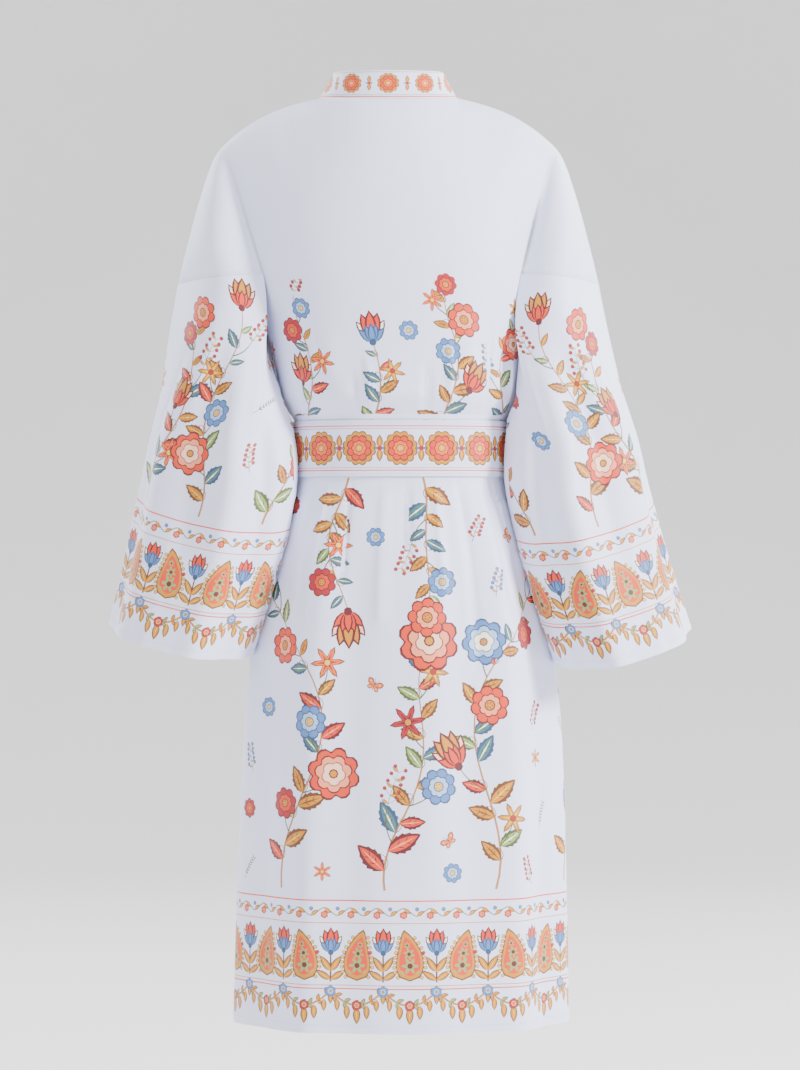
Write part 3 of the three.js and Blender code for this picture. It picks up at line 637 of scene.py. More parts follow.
class Panel:
    """A patch of cloth with a flat pattern: s runs to the right and t up, seen from outside.
    surface gives its points from u, across, and v, up, both from 0 to 1."""

    def __init__(self, surface, columns, rows, zero=0.5):
        self.surface = surface
        self.u = np.asarray(columns, float)
        self.v = np.asarray(rows, float)
        grid = surface(*np.meshgrid(self.u, self.v))
        across = np.linalg.norm(np.diff(grid, axis=1), axis=-1)
        up = np.linalg.norm(np.diff(grid, axis=0), axis=-1)
        self.s = np.pad(np.cumsum(across, 1), ((0, 0), (1, 0)))
        self.s -= np.array([np.interp(zero, self.u, row) for row in self.s])[:, None]
        self.t = np.pad(np.cumsum(up, 0), ((1, 0), (0, 0)))
        self.s_grid = np.linspace(self.s.min(), self.s.max(), LOOK_UPS)
        self.t_grid = np.linspace(0, self.t.max(), LOOK_UPS)
        self.u_of = np.array([np.interp(self.s_grid, row, self.u) for row in self.s])
        self.v_of = np.array([np.interp(self.t_grid, col, self.v) for col in self.t.T])

    def normal(self, u, v):
        u, v = np.clip(u, NUDGE, 1 - NUDGE), np.clip(v, NUDGE, 1 - NUDGE)
        du = self.surface(u + REACH, v) - self.surface(u - REACH, v)
        dv = self.surface(u, v + REACH) - self.surface(u, v - REACH)
        n = np.cross(du, dv)
        return n / np.maximum(np.linalg.norm(n, axis=-1, keepdims=True), 1e-12)

    def locate(self, s, t):
        """u and v of places on the flat pattern."""

        def look(table, at, x, grid, y):
            i = np.clip(np.interp(x, at, np.arange(len(at))), 0, len(at) - 1.000001)
            j = np.clip(np.interp(y, grid, np.arange(len(grid))), 0, len(grid) - 1.000001)
            a, b = i.astype(int), j.astype(int)
            f, g = i - a, j - b
            low = table[a, b] * (1 - g) + table[a, b + 1] * g
            return low * (1 - f) + (table[a + 1, b] * (1 - g) + table[a + 1, b + 1] * g) * f

        v = np.interp(t, [0, self.t.max()], [0, 1])
        for _ in range(LOOK_ROUNDS):
            u = look(self.u_of, self.v, v, self.s_grid, s)
            v = look(self.v_of, self.u, u, self.t_grid, t)
        return u, v

    def put(self, cloth, u, v, s, t):
        return cloth.add(self.surface(u, v), self.normal(u, v), np.stack([s, t], -1))

    def plain(self, cloth):
        """Covers the panel with its own grid."""
        uu, vv = np.meshgrid(self.u, self.v)
        ids = self.put(cloth, uu.ravel(), vv.ravel(), self.s.ravel(), self.t.ravel()).reshape(uu.shape)
        cloth.cover(grid_faces(ids))

    def printed(self, cloth, shapes):
        """Covers the panel, with the shapes of its print cut into the face as flat colour."""
        rows, columns = self.s.shape
        count = rows * columns
        number = np.arange(count).reshape(rows, columns)
        nodes = np.stack([self.s.ravel(), self.t.ravel()], -1)
        low, high = nodes.min(0), nodes.max(0)
        verts = [nodes]
        faces = [[int(i) for i in grid_edge(number)]]
        tones = [0]
        at = count
        for points, tone in shapes:
            if (points.max(0) < low).any() or (points.min(0) > high).any():
                continue
            verts.append(points)
            faces.append(list(range(at, at + len(points))))
            tones.append(tone)
            at += len(points)
        flat = [tuple(p) for p in np.concatenate(verts)]
        got = delaunay_2d_cdt(flat, [], faces, 1, MERGE, True)
        places = np.array([tuple(p) for p in got[0]])
        u, v = self.locate(places[:, 0], places[:, 1])
        for i, origins in enumerate(got[3]):
            if origins and origins[0] < count:
                v[i] = self.v[origins[0] // columns]
                u[i] = self.u[origins[0] % columns]
        inside = [(f, max(o)) for f, o in zip(got[2], got[5]) if 0 in o and len(f) == 3]
        ids = self.put(cloth, u, v, places[:, 0], places[:, 1])
        triangles = np.array([f for f, _ in inside])
        tone = np.array(tones)[[o for _, o in inside]]
        cloth.cover(ids[triangles], tone, back=False)
        edges = {(f[i], f[(i + 1) % 3]) for f, _ in inside for i in range(3)}
        after = {a: b for a, b in edges if (b, a) not in edges}
        walk = [next(iter(sorted(after)))]
        while after[walk[-1]] != walk[0]:
            walk.append(after[walk[-1]])
        corner = next(k for k, i in enumerate(walk) if u[i] < 1e-6 and v[i] < 1e-6)
        walk = walk[corner:] + walk[:corner]
        self.line_back(cloth, ids[walk], u[walk], v[walk], number[COARSE:-1:COARSE, COARSE:-1:COARSE])

    def line_back(self, cloth, outline, u, v, inner):
        """Covers the back with a coarser grid, joined to the outline all round."""
        columns = self.s.shape[1]
        uu, vv = self.u[inner % columns], self.v[inner // columns]
        flat = self.s.ravel()[inner].ravel(), self.t.ravel()[inner].ravel()
        ids = self.put(cloth, uu.ravel(), vv.ravel(), *flat).reshape(inner.shape)
        cloth.cover(grid_faces(ids), face=False)
        sides = np.abs(np.stack([v, 1 - u, 1 - v, u]))
        places = np.choose(np.argmin(sides, 0), [u, 1 + v, 3 - u, 4 - v])
        places[0] = 0
        outer = [*zip(outline, np.maximum.accumulate(places)), (outline[0], 4.0)]
        rows, across = ids.shape
        loop = [*grid_edge(ids), ids[0, 0]]
        steps_round = [np.arange(n - 1) / (n - 1) + k for k, n in enumerate((across, rows, across, rows))]
        inside = list(zip(loop, [*np.concatenate(steps_round), 4.0]))
        i = j = 0
        joined = []
        while i + 1 < len(outer) or j + 1 < len(inside):
            if j + 1 == len(inside) or (i + 1 < len(outer) and outer[i + 1][1] <= inside[j + 1][1]):
                joined.append((outer[i][0], outer[i + 1][0], inside[j][0]))
                i += 1
            else:
                joined.append((outer[i][0], inside[j + 1][0], inside[j][0]))
                j += 1
        cloth.cover(joined, face=False)


# Print colours, as screen values
TONES = {
    "bare": "000000",
    "coral": "dd4a22",
    "orange": "ec7430",
    "salmon": "f19a78",
    "blush": "f8cdb6",
    "red": "b01c28",
    "wine": "6a0f20",
    "gold": "cf8f14",
    "straw": "edbf52",
    "umber": "74440c",
    "blue": "6288bd",
    "sky": "a9c2e6",
    "slate": "35527a",
    "teal": "4f7d76",
    "sage": "93ab68",
    "olive": "52602a",
    "cream": "fdf3dc",
    "ink": "3a322c",
}
TONE_NAMES = list(TONES)

# How much deeper the tones are than their screen values, as the studio's light makes them paler
PRINT_DEPTH = 1.18


def linear(code):
    """A screen colour as linear red, green and blue."""
    values = [int(code[i : i + 2], 16) / 255 for i in (0, 2, 4)]
    return [(v / 12.92 if v <= 0.04045 else ((v + 0.055) / 1.055) ** 2.4) ** PRINT_DEPTH for v in values]


TONE_VALUES = np.array([linear(code) + [0.0 if name == "bare" else 1.0] for name, code in TONES.items()])


# The print's fixed measures
LEAF_TEETH = 5
LEAF_WIDE = 0.42
RAY_WIDE = 0.24
STAR_PETALS = 6
LINE_STEP = 12
STEM_WIDE = 2.6
STEM_STEPS = 26
SWAG_HANG = 17
VINE_LEVEL = 141
BAND_PITCH = 50
BAND_EDGE = 7
BLOOM_LIMIT = 20
SPRINKLE_STEP = 30


class Print:
    """The shapes of a print, drawn on the flat pattern from the back layer to the front one."""

    def __init__(self, seed=1):
        self.shapes = []
        self.rng = np.random.default_rng(seed)

    def draw(self, points, tone, x=0.0, y=0.0, angle=0.0, size=1.0):
        """Draws an outline that points up, turned clockwise by an angle in degrees."""
        a = math.radians(angle)
        turn = np.array([[math.cos(a), -math.sin(a)], [math.sin(a), math.cos(a)]])
        points = np.asarray(points) * size @ turn + (x, y)
        self.shapes.append((points, TONE_NAMES.index(tone)))

    def disc(self, x, y, radius, tone, sides=9):
        a = np.linspace(0, TAU, sides, endpoint=False)
        self.draw(np.stack([np.cos(a), np.sin(a)], -1), tone, x, y, size=radius)


def petal(wide=0.4, tip=1.0, steps=7):
    """A petal one unit long that points up from the origin. A higher tip is fuller at its end."""
    t = np.linspace(0, 1, steps)
    w = wide / 2 * np.sin(math.pi * t**tip).clip(0) ** 0.8
    right = np.stack([w, t], -1)
    left = np.stack([-w, t], -1)[-2:0:-1]
    return np.concatenate([right, left])


def saw_leaf(wide):
    """A leaf one unit long with a toothed edge."""
    right = []
    for k in range(LEAF_TEETH):
        for part, swell in ((0.15, 1.0), (0.95, 1.22)):
            t = 0.04 + 0.9 * (k + part) / LEAF_TEETH
            right.append((wide / 2 * math.sin(math.pi * t**0.85) ** 0.9 * swell, t))
    left = [(-x, t) for x, t in reversed(right)]
    return np.array([(0, 0), *right, (0, 1), *left])


def path(x, y, angle, length, bend, steps=14, sway=0.0):
    """Points and headings along a stem that starts up at an angle and bends as it goes."""
    part = np.linspace(0, 1, steps + 1)
    heading = np.radians(angle + bend * part + sway * np.sin(part * TAU))
    step = length / steps
    mid = (heading[1:] + heading[:-1]) / 2
    points = np.stack([x + np.cumsum(np.sin(mid)) * step, y + np.cumsum(np.cos(mid)) * step], -1)
    return np.vstack([[x, y], points]), np.degrees(heading)


def ribbon(pr, points, wide, tone, taper=0.4):
    """A line of a width that narrows towards its end."""
    way = np.gradient(points, axis=0)
    way /= np.linalg.norm(way, axis=1, keepdims=True)
    side = np.stack([-way[:, 1], way[:, 0]], -1) * wide / 2
    side *= np.linspace(1, taper, len(points))[:, None]
    pr.draw(np.concatenate([points - side, (points + side)[::-1]]), tone)


def leaf(pr, x, y, angle, size, fill, edge, vein="straw", toothed=False, wide=LEAF_WIDE):
    count = 7 if size > 16 else 5
    form = saw_leaf(wide + 0.04) if toothed else petal(wide, 0.85, count)
    pr.draw(form, edge, x, y, angle, size)
    pr.draw(petal(wide * 0.74, 0.85, count), fill, x, y, angle, size * 0.92)
    pr.draw(petal(0.07, 0.7, 3), vein, x, y, angle, size * 0.84)
    if size > 22:
        a = math.radians(angle)
        for part in (0.28, 0.52):
            px, py = x + math.sin(a) * size * part, y + math.cos(a) * size * part
            for side in (-38, 38):
                pr.draw(petal(0.16, 0.8, 3), edge, px, py, angle + side, size * (0.24 - 0.1 * part))


def scallop(count, dip=0.17, steps=4):
    """A round outline of a radius of one with scallops on its edge."""
    a = np.linspace(0, TAU, count * steps, endpoint=False)
    r = 1 - dip * (1 - np.abs(np.sin(a * count / 2)) ** 0.7)
    return np.stack([np.cos(a) * r, np.sin(a) * r], -1)


def star(count, waist=0.34, belly=0.72):
    """An outline with pointed petals round a centre."""
    points = []
    for k in range(count):
        for shift, r in ((-0.5, waist), (-0.2, belly), (0, 1), (0.2, belly)):
            a = TAU * (k + shift) / count
            points.append((math.cos(a) * r, math.sin(a) * r))
    return np.array(points)


def rays(pr, x, y, start, end, count, tone, turn):
    """Thin strokes that point out from a centre, between two distances from it."""
    for k in range(count):
        angle = turn + 360 * k / count
        a = math.radians(angle)
        at = x + math.sin(a) * start, y + math.cos(a) * start
        pr.draw(petal(RAY_WIDE, 1.0, 3), tone, *at, angle, end - start)


def rosette(pr, x, y, size, tones, count=8, turn=0.0):
    edge, outer, inner, eye = tones
    pr.draw(scallop(count), edge, x, y, turn, size)
    pr.draw(scallop(count), outer, x, y, turn, size * 0.91)
    rays(pr, x, y, size * 0.6, size * 0.84, count, edge, turn + 90)
    pr.draw(scallop(count), edge, x, y, turn + 180 / count, size * 0.6)
    pr.draw(scallop(count), inner, x, y, turn + 180 / count, size * 0.53)
    pr.disc(x, y, size * 0.28, edge, 9)
    pr.disc(x, y, size * 0.22, eye, 9)
    if size > 15:
        for k in range(5):
            a = TAU * k / 5
            pr.disc(x + math.cos(a) * size * 0.12, y + math.sin(a) * size * 0.12, size * 0.04, edge, 5)


def star_flower(pr, x, y, size, tones, turn):
    edge, outer, inner, eye = tones
    pr.draw(star(STAR_PETALS), edge, x, y, turn, size)
    pr.draw(star(STAR_PETALS, 0.3, 0.64), outer, x, y, turn, size * 0.9)
    pr.draw(star(STAR_PETALS, 0.3, 0.4), inner, x, y, turn, size * 0.62)
    pr.disc(x, y, size * 0.22, edge, 8)
    pr.disc(x, y, size * 0.17, eye, 8)


def peony(pr, x, y, size, tones, turn):
    edge, outer, inner, heart = tones
    for reach, count, fill, shift in ((1.0, 8, outer, 0), (0.72, 7, inner, 24), (0.46, 5, heart, 10)):
        pr.draw(scallop(count, 0.2), edge, x, y, turn + shift, size * reach)
        pr.draw(scallop(count, 0.2), fill, x, y, turn + shift, size * reach * 0.92)
        if reach > 0.5:
            rays(pr, x, y, size * (reach - 0.22), size * reach * 0.88, count, edge, turn + shift + 90)
    pr.disc(x, y, size * 0.18, edge, 8)
    pr.disc(x, y, size * 0.13, "gold", 7)


def bell(pr, x, y, angle, size, tones):
    """A flower seen from its side, with curled outer petals and a calyx."""
    edge, cup, tongue, light = tones
    back = "wine" if tongue == "coral" else edge
    for side, reach in ((-34, 0.9), (34, 0.9), (-16, 1.06), (16, 1.06), (0, 1.12)):
        pr.draw(petal(0.36, 1.1, 6), back, x, y, angle + side, size * reach)
        fill = tongue if abs(side) < 20 else light
        pr.draw(petal(0.26, 1.1, 6), fill, x, y, angle + side, size * reach * 0.92)
    for side in (-44, 44, -18, 18, 0):
        pr.draw(petal(0.44, 0.9, 5), edge, x, y, angle + side, size * 0.66)
        pr.draw(petal(0.32, 0.9, 5), cup, x, y, angle + side, size * 0.59)
    pr.disc(x, y, size * 0.13, edge, 7)


def berries(pr, x, y, angle, size, tone):
    """A small upright head of berries and leaves."""
    points, headings = path(x, y, angle, size, 14, 5)
    ribbon(pr, points, 0.9, "olive")
    for k, ((px, py), heading) in enumerate(zip(points[1:], headings[1:])):
        for side in (-1, 1):
            a = math.radians(heading + side * 52)
            reach = size * (0.25 - 0.02 * k)
            bx, by = px + math.sin(a) * reach, py + math.cos(a) * reach
            ribbon(pr, np.array([[px, py], [bx, by]]), 0.6, "olive")
            pr.disc(bx, by, 2.5, "wine" if tone == "red" else "slate", 7)
            pr.disc(bx - 0.3, by + 0.3, 1.9, tone, 6)
        leaf(pr, px, py, heading + (70 if k % 2 else -70), size * 0.2, "gold", "umber")


def fern(pr, x, y, angle, size, tone):
    """A thin sprig with paired leaflets."""
    points, headings = path(x, y, angle, size, 20, 8)
    ribbon(pr, points, 0.8, tone)
    for (px, py), heading in zip(points[2:], headings[2:]):
        for side in (-46, 46):
            pr.draw(petal(0.34, 0.9, 5), tone, px, py, heading + side, size * 0.15)


def butterfly(pr, x, y, angle, size, tones):
    edge, wing, spot = tones
    for turn, reach, wide in ((-58, 1, 0.62), (58, 1, 0.62), (-122, 0.72, 0.66), (122, 0.72, 0.66)):
        pr.draw(petal(wide, 1.3), edge, x, y, angle + turn, size * reach)
        pr.draw(petal(wide * 0.74, 1.3), wing, x, y, angle + turn, size * reach * 0.9)
        a = math.radians(angle + turn)
        dx, dy = math.sin(a) * size * reach * 0.6, math.cos(a) * size * reach * 0.6
        pr.disc(x + dx, y + dy, size * 0.11, spot, 7)
    pr.draw(petal(0.2, 0.9), "ink", x, y, angle, size * 0.5)
    pr.draw(petal(0.2, 0.9), "ink", x, y, angle + 180, size * 0.5)
    for side in (-16, 16):
        pr.draw(petal(0.05, 1.0, 4), "ink", x, y, angle + side, size * 0.95)


def drop_width(part):
    """Half the width of a drop at a share of its height."""
    return 0.3 * np.sin(math.pi * np.asarray(part) ** 0.7).clip(0) ** 0.62 * (1 - 0.3 * np.asarray(part))


def drop_bend(part):
    """How far a drop's middle leans to the side of its tip."""
    return 0.42 * np.clip(np.asarray(part) - 0.45, 0, 1) ** 2


def paisley(pr, x, y, size, flip):
    """An upright drop with a curled tip, a beaded edge and a small plant inside."""
    edge, rim, field, plant = "umber", "gold", "coral", "sage"
    part = np.linspace(0, 1, 15)
    wide = drop_width(part)
    sweep = flip * drop_bend(part)
    for scale, tone in ((1.0, edge), (0.93, rim), (0.76, field)):
        low = (1 - scale) * 0.42
        right = np.stack([sweep * scale + wide * scale, low + part * scale], -1)
        left = np.stack([sweep * scale - wide * scale, low + part * scale], -1)
        pr.draw(np.concatenate([right, left[-2:0:-1]]), tone, x, y, 0, size)
    for k in range(9):
        t = 0.08 + 0.76 * k / 8
        w = drop_width(t) + 0.035
        bend = flip * drop_bend(t)
        for side in (-1, 1):
            pr.disc(x + (bend + side * w) * size, y + t * size, size * 0.042, edge, 6)
            pr.disc(x + (bend + side * w) * size, y + t * size, size * 0.03, "straw", 5)
    for k, (dx, dy, reach) in enumerate(((0, 0.3, 0.17), (0.02, 0.53, 0.12), (0.06, 0.7, 0.07))):
        pr.draw(star(6, 0.4, 0.8), plant, x + flip * dx * size, y + dy * size, 15 * k, size * reach)
        pr.disc(x + flip * dx * size, y + dy * size, size * reach * 0.34, "wine", 6)
    for side in (-1, 1):
        pr.draw(petal(0.3, 1), plant, x + side * 0.1 * size, y + 0.14 * size, side * 50, size * 0.13)


def line(pr, start, end, y, wide, tone):
    """A level line as short pieces, so that it bends with the cloth."""
    count = max(1, int((end - start) / LINE_STEP))
    xs = np.linspace(start, end, count + 1)
    low = np.stack([xs, np.full(len(xs), y - wide / 2)], -1)
    high = np.stack([xs, np.full(len(xs), y + wide / 2)], -1)[::-1]
    pr.draw(np.concatenate([low, high]), tone)


def tulip(pr, x, y, size):
    """A plant in a border: a stem with two pairs of curled leaves below a bell-like flower."""
    ribbon(pr, np.array([[x, y], [x, y + size * 0.62]]), 2.2, "umber", 0.8)
    for side in (-1, 1):
        for low, angle, reach in ((0.04, 58, 0.34), (0.2, 34, 0.36)):
            leaf(pr, x, y + size * low, side * angle, size * reach, "gold", "umber", "straw", wide=0.4)
        pr.disc(x + side * size * 0.27, y + size * 0.56, size * 0.045, "red", 6)
    bell(pr, x, y + size * 0.56, 0, size * 0.44, ("slate", "blue", "coral", "cream"))


def swag(pr, x, y, pitch):
    """A garland that hangs between two places on a line, with a drop below its middle."""
    part = np.linspace(-1, 1, 13)
    hang = np.stack([x + part * pitch / 2, y - SWAG_HANG * (1 - part**2)], -1)
    ribbon(pr, hang, 2.2, "umber", 1)
    ribbon(pr, hang, 1.2, "gold", 1)
    for k in range(1, 12, 2):
        px, py = hang[k]
        slope = math.degrees(math.atan2(2 * SWAG_HANG * part[k], pitch / 2))
        for side in (-1, 1):
            heading = (90 + side * 48) - slope
            pr.draw(petal(0.5, 0.9, 5), "umber", px, py, heading, 9.5)
            pr.draw(petal(0.34, 0.9, 5), "gold" if k % 4 == 1 else "sage", px, py, heading, 8.2)
    for place, reach in ((-0.75, 15), (-0.38, 17), (0.38, 17), (0.75, 15), (0, 20), (-1, 14)):
        low = y - SWAG_HANG * (1 - place**2)
        leaf(pr, x + place * pitch / 2, low - 2, 180, reach, "gold", "umber", "straw", wide=0.46)
    rosette(pr, x, y - SWAG_HANG, 6.4, ("wine", "red", "salmon", "gold"), 6)
    rosette(pr, x - pitch / 2, y - 1, 6.8, ("slate", "blue", "sky", "gold"), 6)


BORDER_PITCH = 62


def border(pr, start, end, shift=0.0):
    """The band of the hem and the cuffs, from garlands at its foot up to a thin vine."""
    for y, wide, tone in ((52, 1.4, "coral"), (56, 1.0, "gold"), (128, 1.0, "gold"), (154, 1.6, "coral")):
        line(pr, start, end, y, wide, tone)
    first = math.floor((start - shift) / BORDER_PITCH) - 1
    for k in range(first, math.ceil((end - shift) / BORDER_PITCH) + 2):
        x = shift + k * BORDER_PITCH
        swag(pr, x, 50, BORDER_PITCH)
        paisley(pr, x, 61, 60, 1 if k % 2 else -1)
        tulip(pr, x + BORDER_PITCH / 2, 60, 60)
        for j in range(4):
            px = x + BORDER_PITCH * (j / 4 - 0.5)
            up = 1 if j % 2 else -1
            sweep = np.linspace(0, 1, 7)
            wave = VINE_LEVEL + up * 4.5 * np.sin(math.pi * sweep)
            ribbon(pr, np.stack([px + sweep * BORDER_PITCH / 4, wave], -1), 1.1, "olive", 1)
            mid = px + BORDER_PITCH / 8
            leaf(pr, mid, VINE_LEVEL + up * 4, 90 + 35 * up, 10, "gold", "umber", wide=0.5)
            if j % 2:
                rosette(pr, mid, VINE_LEVEL - up * 3.5, 4.6, ("wine", "coral", "salmon", "gold"), 6)
            else:
                pr.disc(mid, VINE_LEVEL - up * 3.5, 2.6, "slate", 7)
                pr.disc(mid, VINE_LEVEL - up * 3.5, 1.9, "blue", 7)


def band_print(pr, start, end, middle, tall):
    """A row of round flowers on a line, with a double rule above and below."""
    half = tall / 2 - BAND_EDGE
    for side in (-1, 1):
        line(pr, start, end, middle + side * half, 1.2, "coral")
        line(pr, start, end, middle + side * (half - 3), 0.7, "gold")
    count = math.ceil((end - start) / BAND_PITCH)
    for k in range(count + 1):
        x = start + (k + 0.5) * (end - start) / count
        size = min(half - 5, BLOOM_LIMIT)
        pr.draw(scallop(12, 0.12, 4), "umber", x, middle, 0, size * 1.04)
        pr.draw(scallop(12, 0.12, 4), "gold", x, middle, 0, size * 0.97)
        rosette(pr, x, middle, size * 0.8, ("wine", "coral", "orange", "straw"), 8)
        x += (end - start) / count / 2
        for angle in (0, 180):
            leaf(pr, x, middle, angle, size * 0.8, "gold", "umber", wide=0.5)
        for angle in (90, 270):
            pr.draw(petal(0.5, 1), "slate", x, middle, angle, size * 0.36)
            pr.draw(petal(0.34, 1), "blue", x, middle, angle, size * 0.32)
        pr.disc(x, middle, size * 0.16, "red", 7)


WARM = ("wine", "coral", "salmon", "gold")
COOL = ("slate", "blue", "sky", "straw")
DEEP = ("wine", "red", "coral", "gold")
GOLDEN = ("umber", "gold", "straw", "red")
ROUND_BLOOMS = {
    "peony": (peony, ("wine", "coral", "salmon", "blush")),
    "blue_peony": (peony, ("slate", "blue", "sky", "cream")),
    "rosette": (rosette, WARM),
    "blue": (rosette, COOL),
    "red": (rosette, DEEP),
    "golden": (star_flower, GOLDEN),
    "star": (star_flower, ("umber", "orange", "red", "straw")),
    "dark_star": (star_flower, ("wine", "red", "wine", "gold")),
}
TALL_BLOOMS = {
    "bell": (bell, ("slate", "blue", "coral", "cream")),
    "lily": (bell, ("wine", "coral", "gold", "blush")),
    "moth": (butterfly, ("wine", "orange", "straw")),
    "blue_moth": (butterfly, ("slate", "blue", "salmon")),
    "berries": (berries, "red"),
    "blue_berries": (berries, "blue"),
    "fern": (fern, "olive"),
}


def bloom(pr, kind, x, y, angle, size):
    if kind in ROUND_BLOOMS:
        make, tones = ROUND_BLOOMS[kind]
        make(pr, x, y, size, tones, turn=angle)
    else:
        make, tones = TALL_BLOOMS[kind]
        make(pr, x, y, angle, size, tones)


LEAF_LOOKS = (
    ("gold", "umber", "straw"),
    ("sage", "olive", "cream"),
    ("gold", "umber", "umber"),
    ("teal", "slate", "cream"),
    ("coral", "wine", "salmon"),
)


def spray(pr, x, y, angle, length, bend, blooms, sway, leaves, size):
    """A stem with leaves on both sides, and blooms on short stalks: (part, side, reach, kind, size)."""
    points, headings = path(x, y, angle, length, bend, STEM_STEPS, sway)
    ribbon(pr, points, STEM_WIDE, "umber")
    ribbon(pr, points, STEM_WIDE * 0.5, "gold")
    for k in range(leaves):
        i = round(2 + 23 * k / leaves)
        (px, py), heading = points[i], headings[i]
        side = 1 if k % 2 else -1
        fill, edge, vein = LEAF_LOOKS[pr.rng.integers(0, len(LEAF_LOOKS))]
        reach = size * (1 - 0.45 * k / leaves) * pr.rng.uniform(0.8, 1.15)
        leaf(pr, px, py, heading + side * pr.rng.uniform(42, 66), reach, fill, edge, vein, reach > 24)
        if k % 2 == 0:
            curl, _ = path(px, py, heading - side * 50, reach * 1.1, side * 260, 10)
            ribbon(pr, curl, 1.0, "umber", 0.3)
    for part, side, reach, kind, big in blooms:
        i = round(part * STEM_STEPS)
        (px, py), heading = points[i], headings[i]
        stalk, ends = path(px, py, heading + side * 52, reach, -side * 40, 8)
        if reach:
            ribbon(pr, stalk, STEM_WIDE * 0.6, "olive", 0.7)
        bloom(pr, kind, *stalk[-1], ends[-1], big)


def sprinkle(pr, low, high, apart=25.0):
    """Sets small motifs where the print still leaves room, between two corners of a rectangle."""
    kinds = ("fern", "star", "blue", "berries", "moth", "red", "fern", "blue_berries", "golden")
    count = 0
    for y in np.arange(low[1], high[1], SPRINKLE_STEP):
        for x in np.arange(low[0], high[0], SPRINKLE_STEP):
            place = np.array([x, y]) + pr.rng.uniform(-9, 9, 2)
            angle = float(pr.rng.uniform(-50, 50))
            near = min(np.abs(points - place).max(1).min() for points, _ in pr.shapes)
            if near < apart:
                continue
            kind = kinds[count % len(kinds)]
            size = 12 if kind in ROUND_BLOOMS or kind == "moth" else 30
            shift = 0.5 * size if size > 20 else 0
            turn = math.radians(angle)
            foot = place - shift * np.array([math.sin(turn), math.cos(turn)])
            bloom(pr, kind, *foot, angle, size)
            count += 1


# Sprays of the prints: where they start, angle, length, bend, sway, leaves, leaf size and blooms
BACK_SPRAYS = (
    (-150, 166, -6, 440, -4, 34, 17, 40, (
        (0.14, -1, 34, "red", 19), (0.26, 1, 44, "peony", 32), (0.4, -1, 38, "blue", 21),
        (0.52, 1, 40, "star", 21), (0.66, -1, 34, "rosette", 23), (0.8, 1, 36, "berries", 54),
        (1, 1, 0, "lily", 44))),
    (-20, 166, -10, 300, 40, 26, 13, 40, (
        (0.2, -1, 36, "berries", 48), (0.36, 1, 42, "blue", 22), (0.56, -1, 36, "dark_star", 22),
        (0.76, 1, 36, "golden", 20), (1, 1, 0, "peony", 37))),
    (112, 166, 18, 440, -10, -34, 17, 40, (
        (0.13, 1, 36, "golden", 20), (0.26, -1, 44, "lily", 42), (0.42, 1, 38, "rosette", 24),
        (0.56, -1, 42, "blue_peony", 28), (0.7, 1, 34, "red", 19), (0.84, -1, 30, "berries", 48),
        (1, 1, 0, "bell", 44))),
    (236, 168, 0, 420, -8, 30, 14, 34, (
        (0.2, -1, 30, "blue", 18), (0.45, 1, 30, "peony", 26), (0.7, -1, 28, "star", 19),
        (1, 1, 0, "lily", 36))),
    (-248, 168, 2, 420, 8, -28, 14, 34, (
        (0.22, 1, 28, "rosette", 21), (0.46, -1, 30, "blue", 19), (0.72, 1, 28, "golden", 19),
        (1, 1, 0, "bell", 36))),
    (-62, 652, 196, 170, -30, 14, 10, 34, (
        (0.35, -1, 30, "star", 19), (0.62, 1, 30, "red", 18), (1, 1, 0, "lily", 40))),
    (26, 652, 164, 170, 30, 10, 9, 34, (
        (0.3, 1, 28, "berries", 40), (0.6, -1, 30, "blue", 18), (1, 1, 0, "rosette", 24))),
    (-118, 700, -10, 176, 16, 20, 10, 30, (
        (0.24, -1, 30, "lily", 34), (0.44, 1, 28, "star", 17), (0.64, -1, 26, "red", 16),
        (0.82, 1, 20, "blue", 13), (1, 1, 0, "berries", 28))),
    (-36, 706, 24, 110, -40, 0, 7, 30, ((0.5, 1, 26, "golden", 16), (1, 1, 0, "bell", 34))),
    (52, 700, -12, 186, 30, 26, 11, 32, (
        (0.2, 1, 38, "lily", 36), (0.42, -1, 30, "blue", 16), (0.6, 1, 32, "rosette", 21),
        (0.8, -1, 24, "star", 14), (1, 1, 0, "red", 15))),
    (138, 704, 8, 170, 8, -20, 10, 28, (
        (0.3, -1, 26, "blue_berries", 36), (0.56, 1, 24, "peony", 20), (0.8, -1, 22, "golden", 13),
        (1, 1, 0, "berries", 24))),
)
FRONT_SPRAYS = (
    (66, 168, 4, 410, 8, 34, 15, 38, (
        (0.18, 1, 30, "blue", 19), (0.34, -1, 34, "peony", 29), (0.52, 1, 36, "star", 20),
        (0.7, -1, 28, "berries", 46), (0.84, 1, 24, "red", 16), (1, 1, 0, "lily", 40))),
    (168, 168, -4, 380, 14, -30, 14, 36, (
        (0.22, -1, 30, "red", 19), (0.44, 1, 34, "blue_peony", 25), (0.66, -1, 28, "golden", 18),
        (1, 1, 0, "bell", 40))),
    (250, 170, 0, 300, 0, 24, 10, 30, ((0.4, -1, 26, "rosette", 20), (1, 1, 0, "lily", 32))),
    (104, 704, 6, 150, 20, 20, 9, 26, (
        (0.35, 1, 26, "rosette", 19), (0.65, -1, 24, "blue", 14), (1, 1, 0, "berries", 30))),
    (184, 706, -6, 140, 0, 16, 8, 26, (
        (0.4, -1, 22, "star", 15), (0.7, 1, 20, "red", 13), (1, 1, 0, "lily", 26))),
)
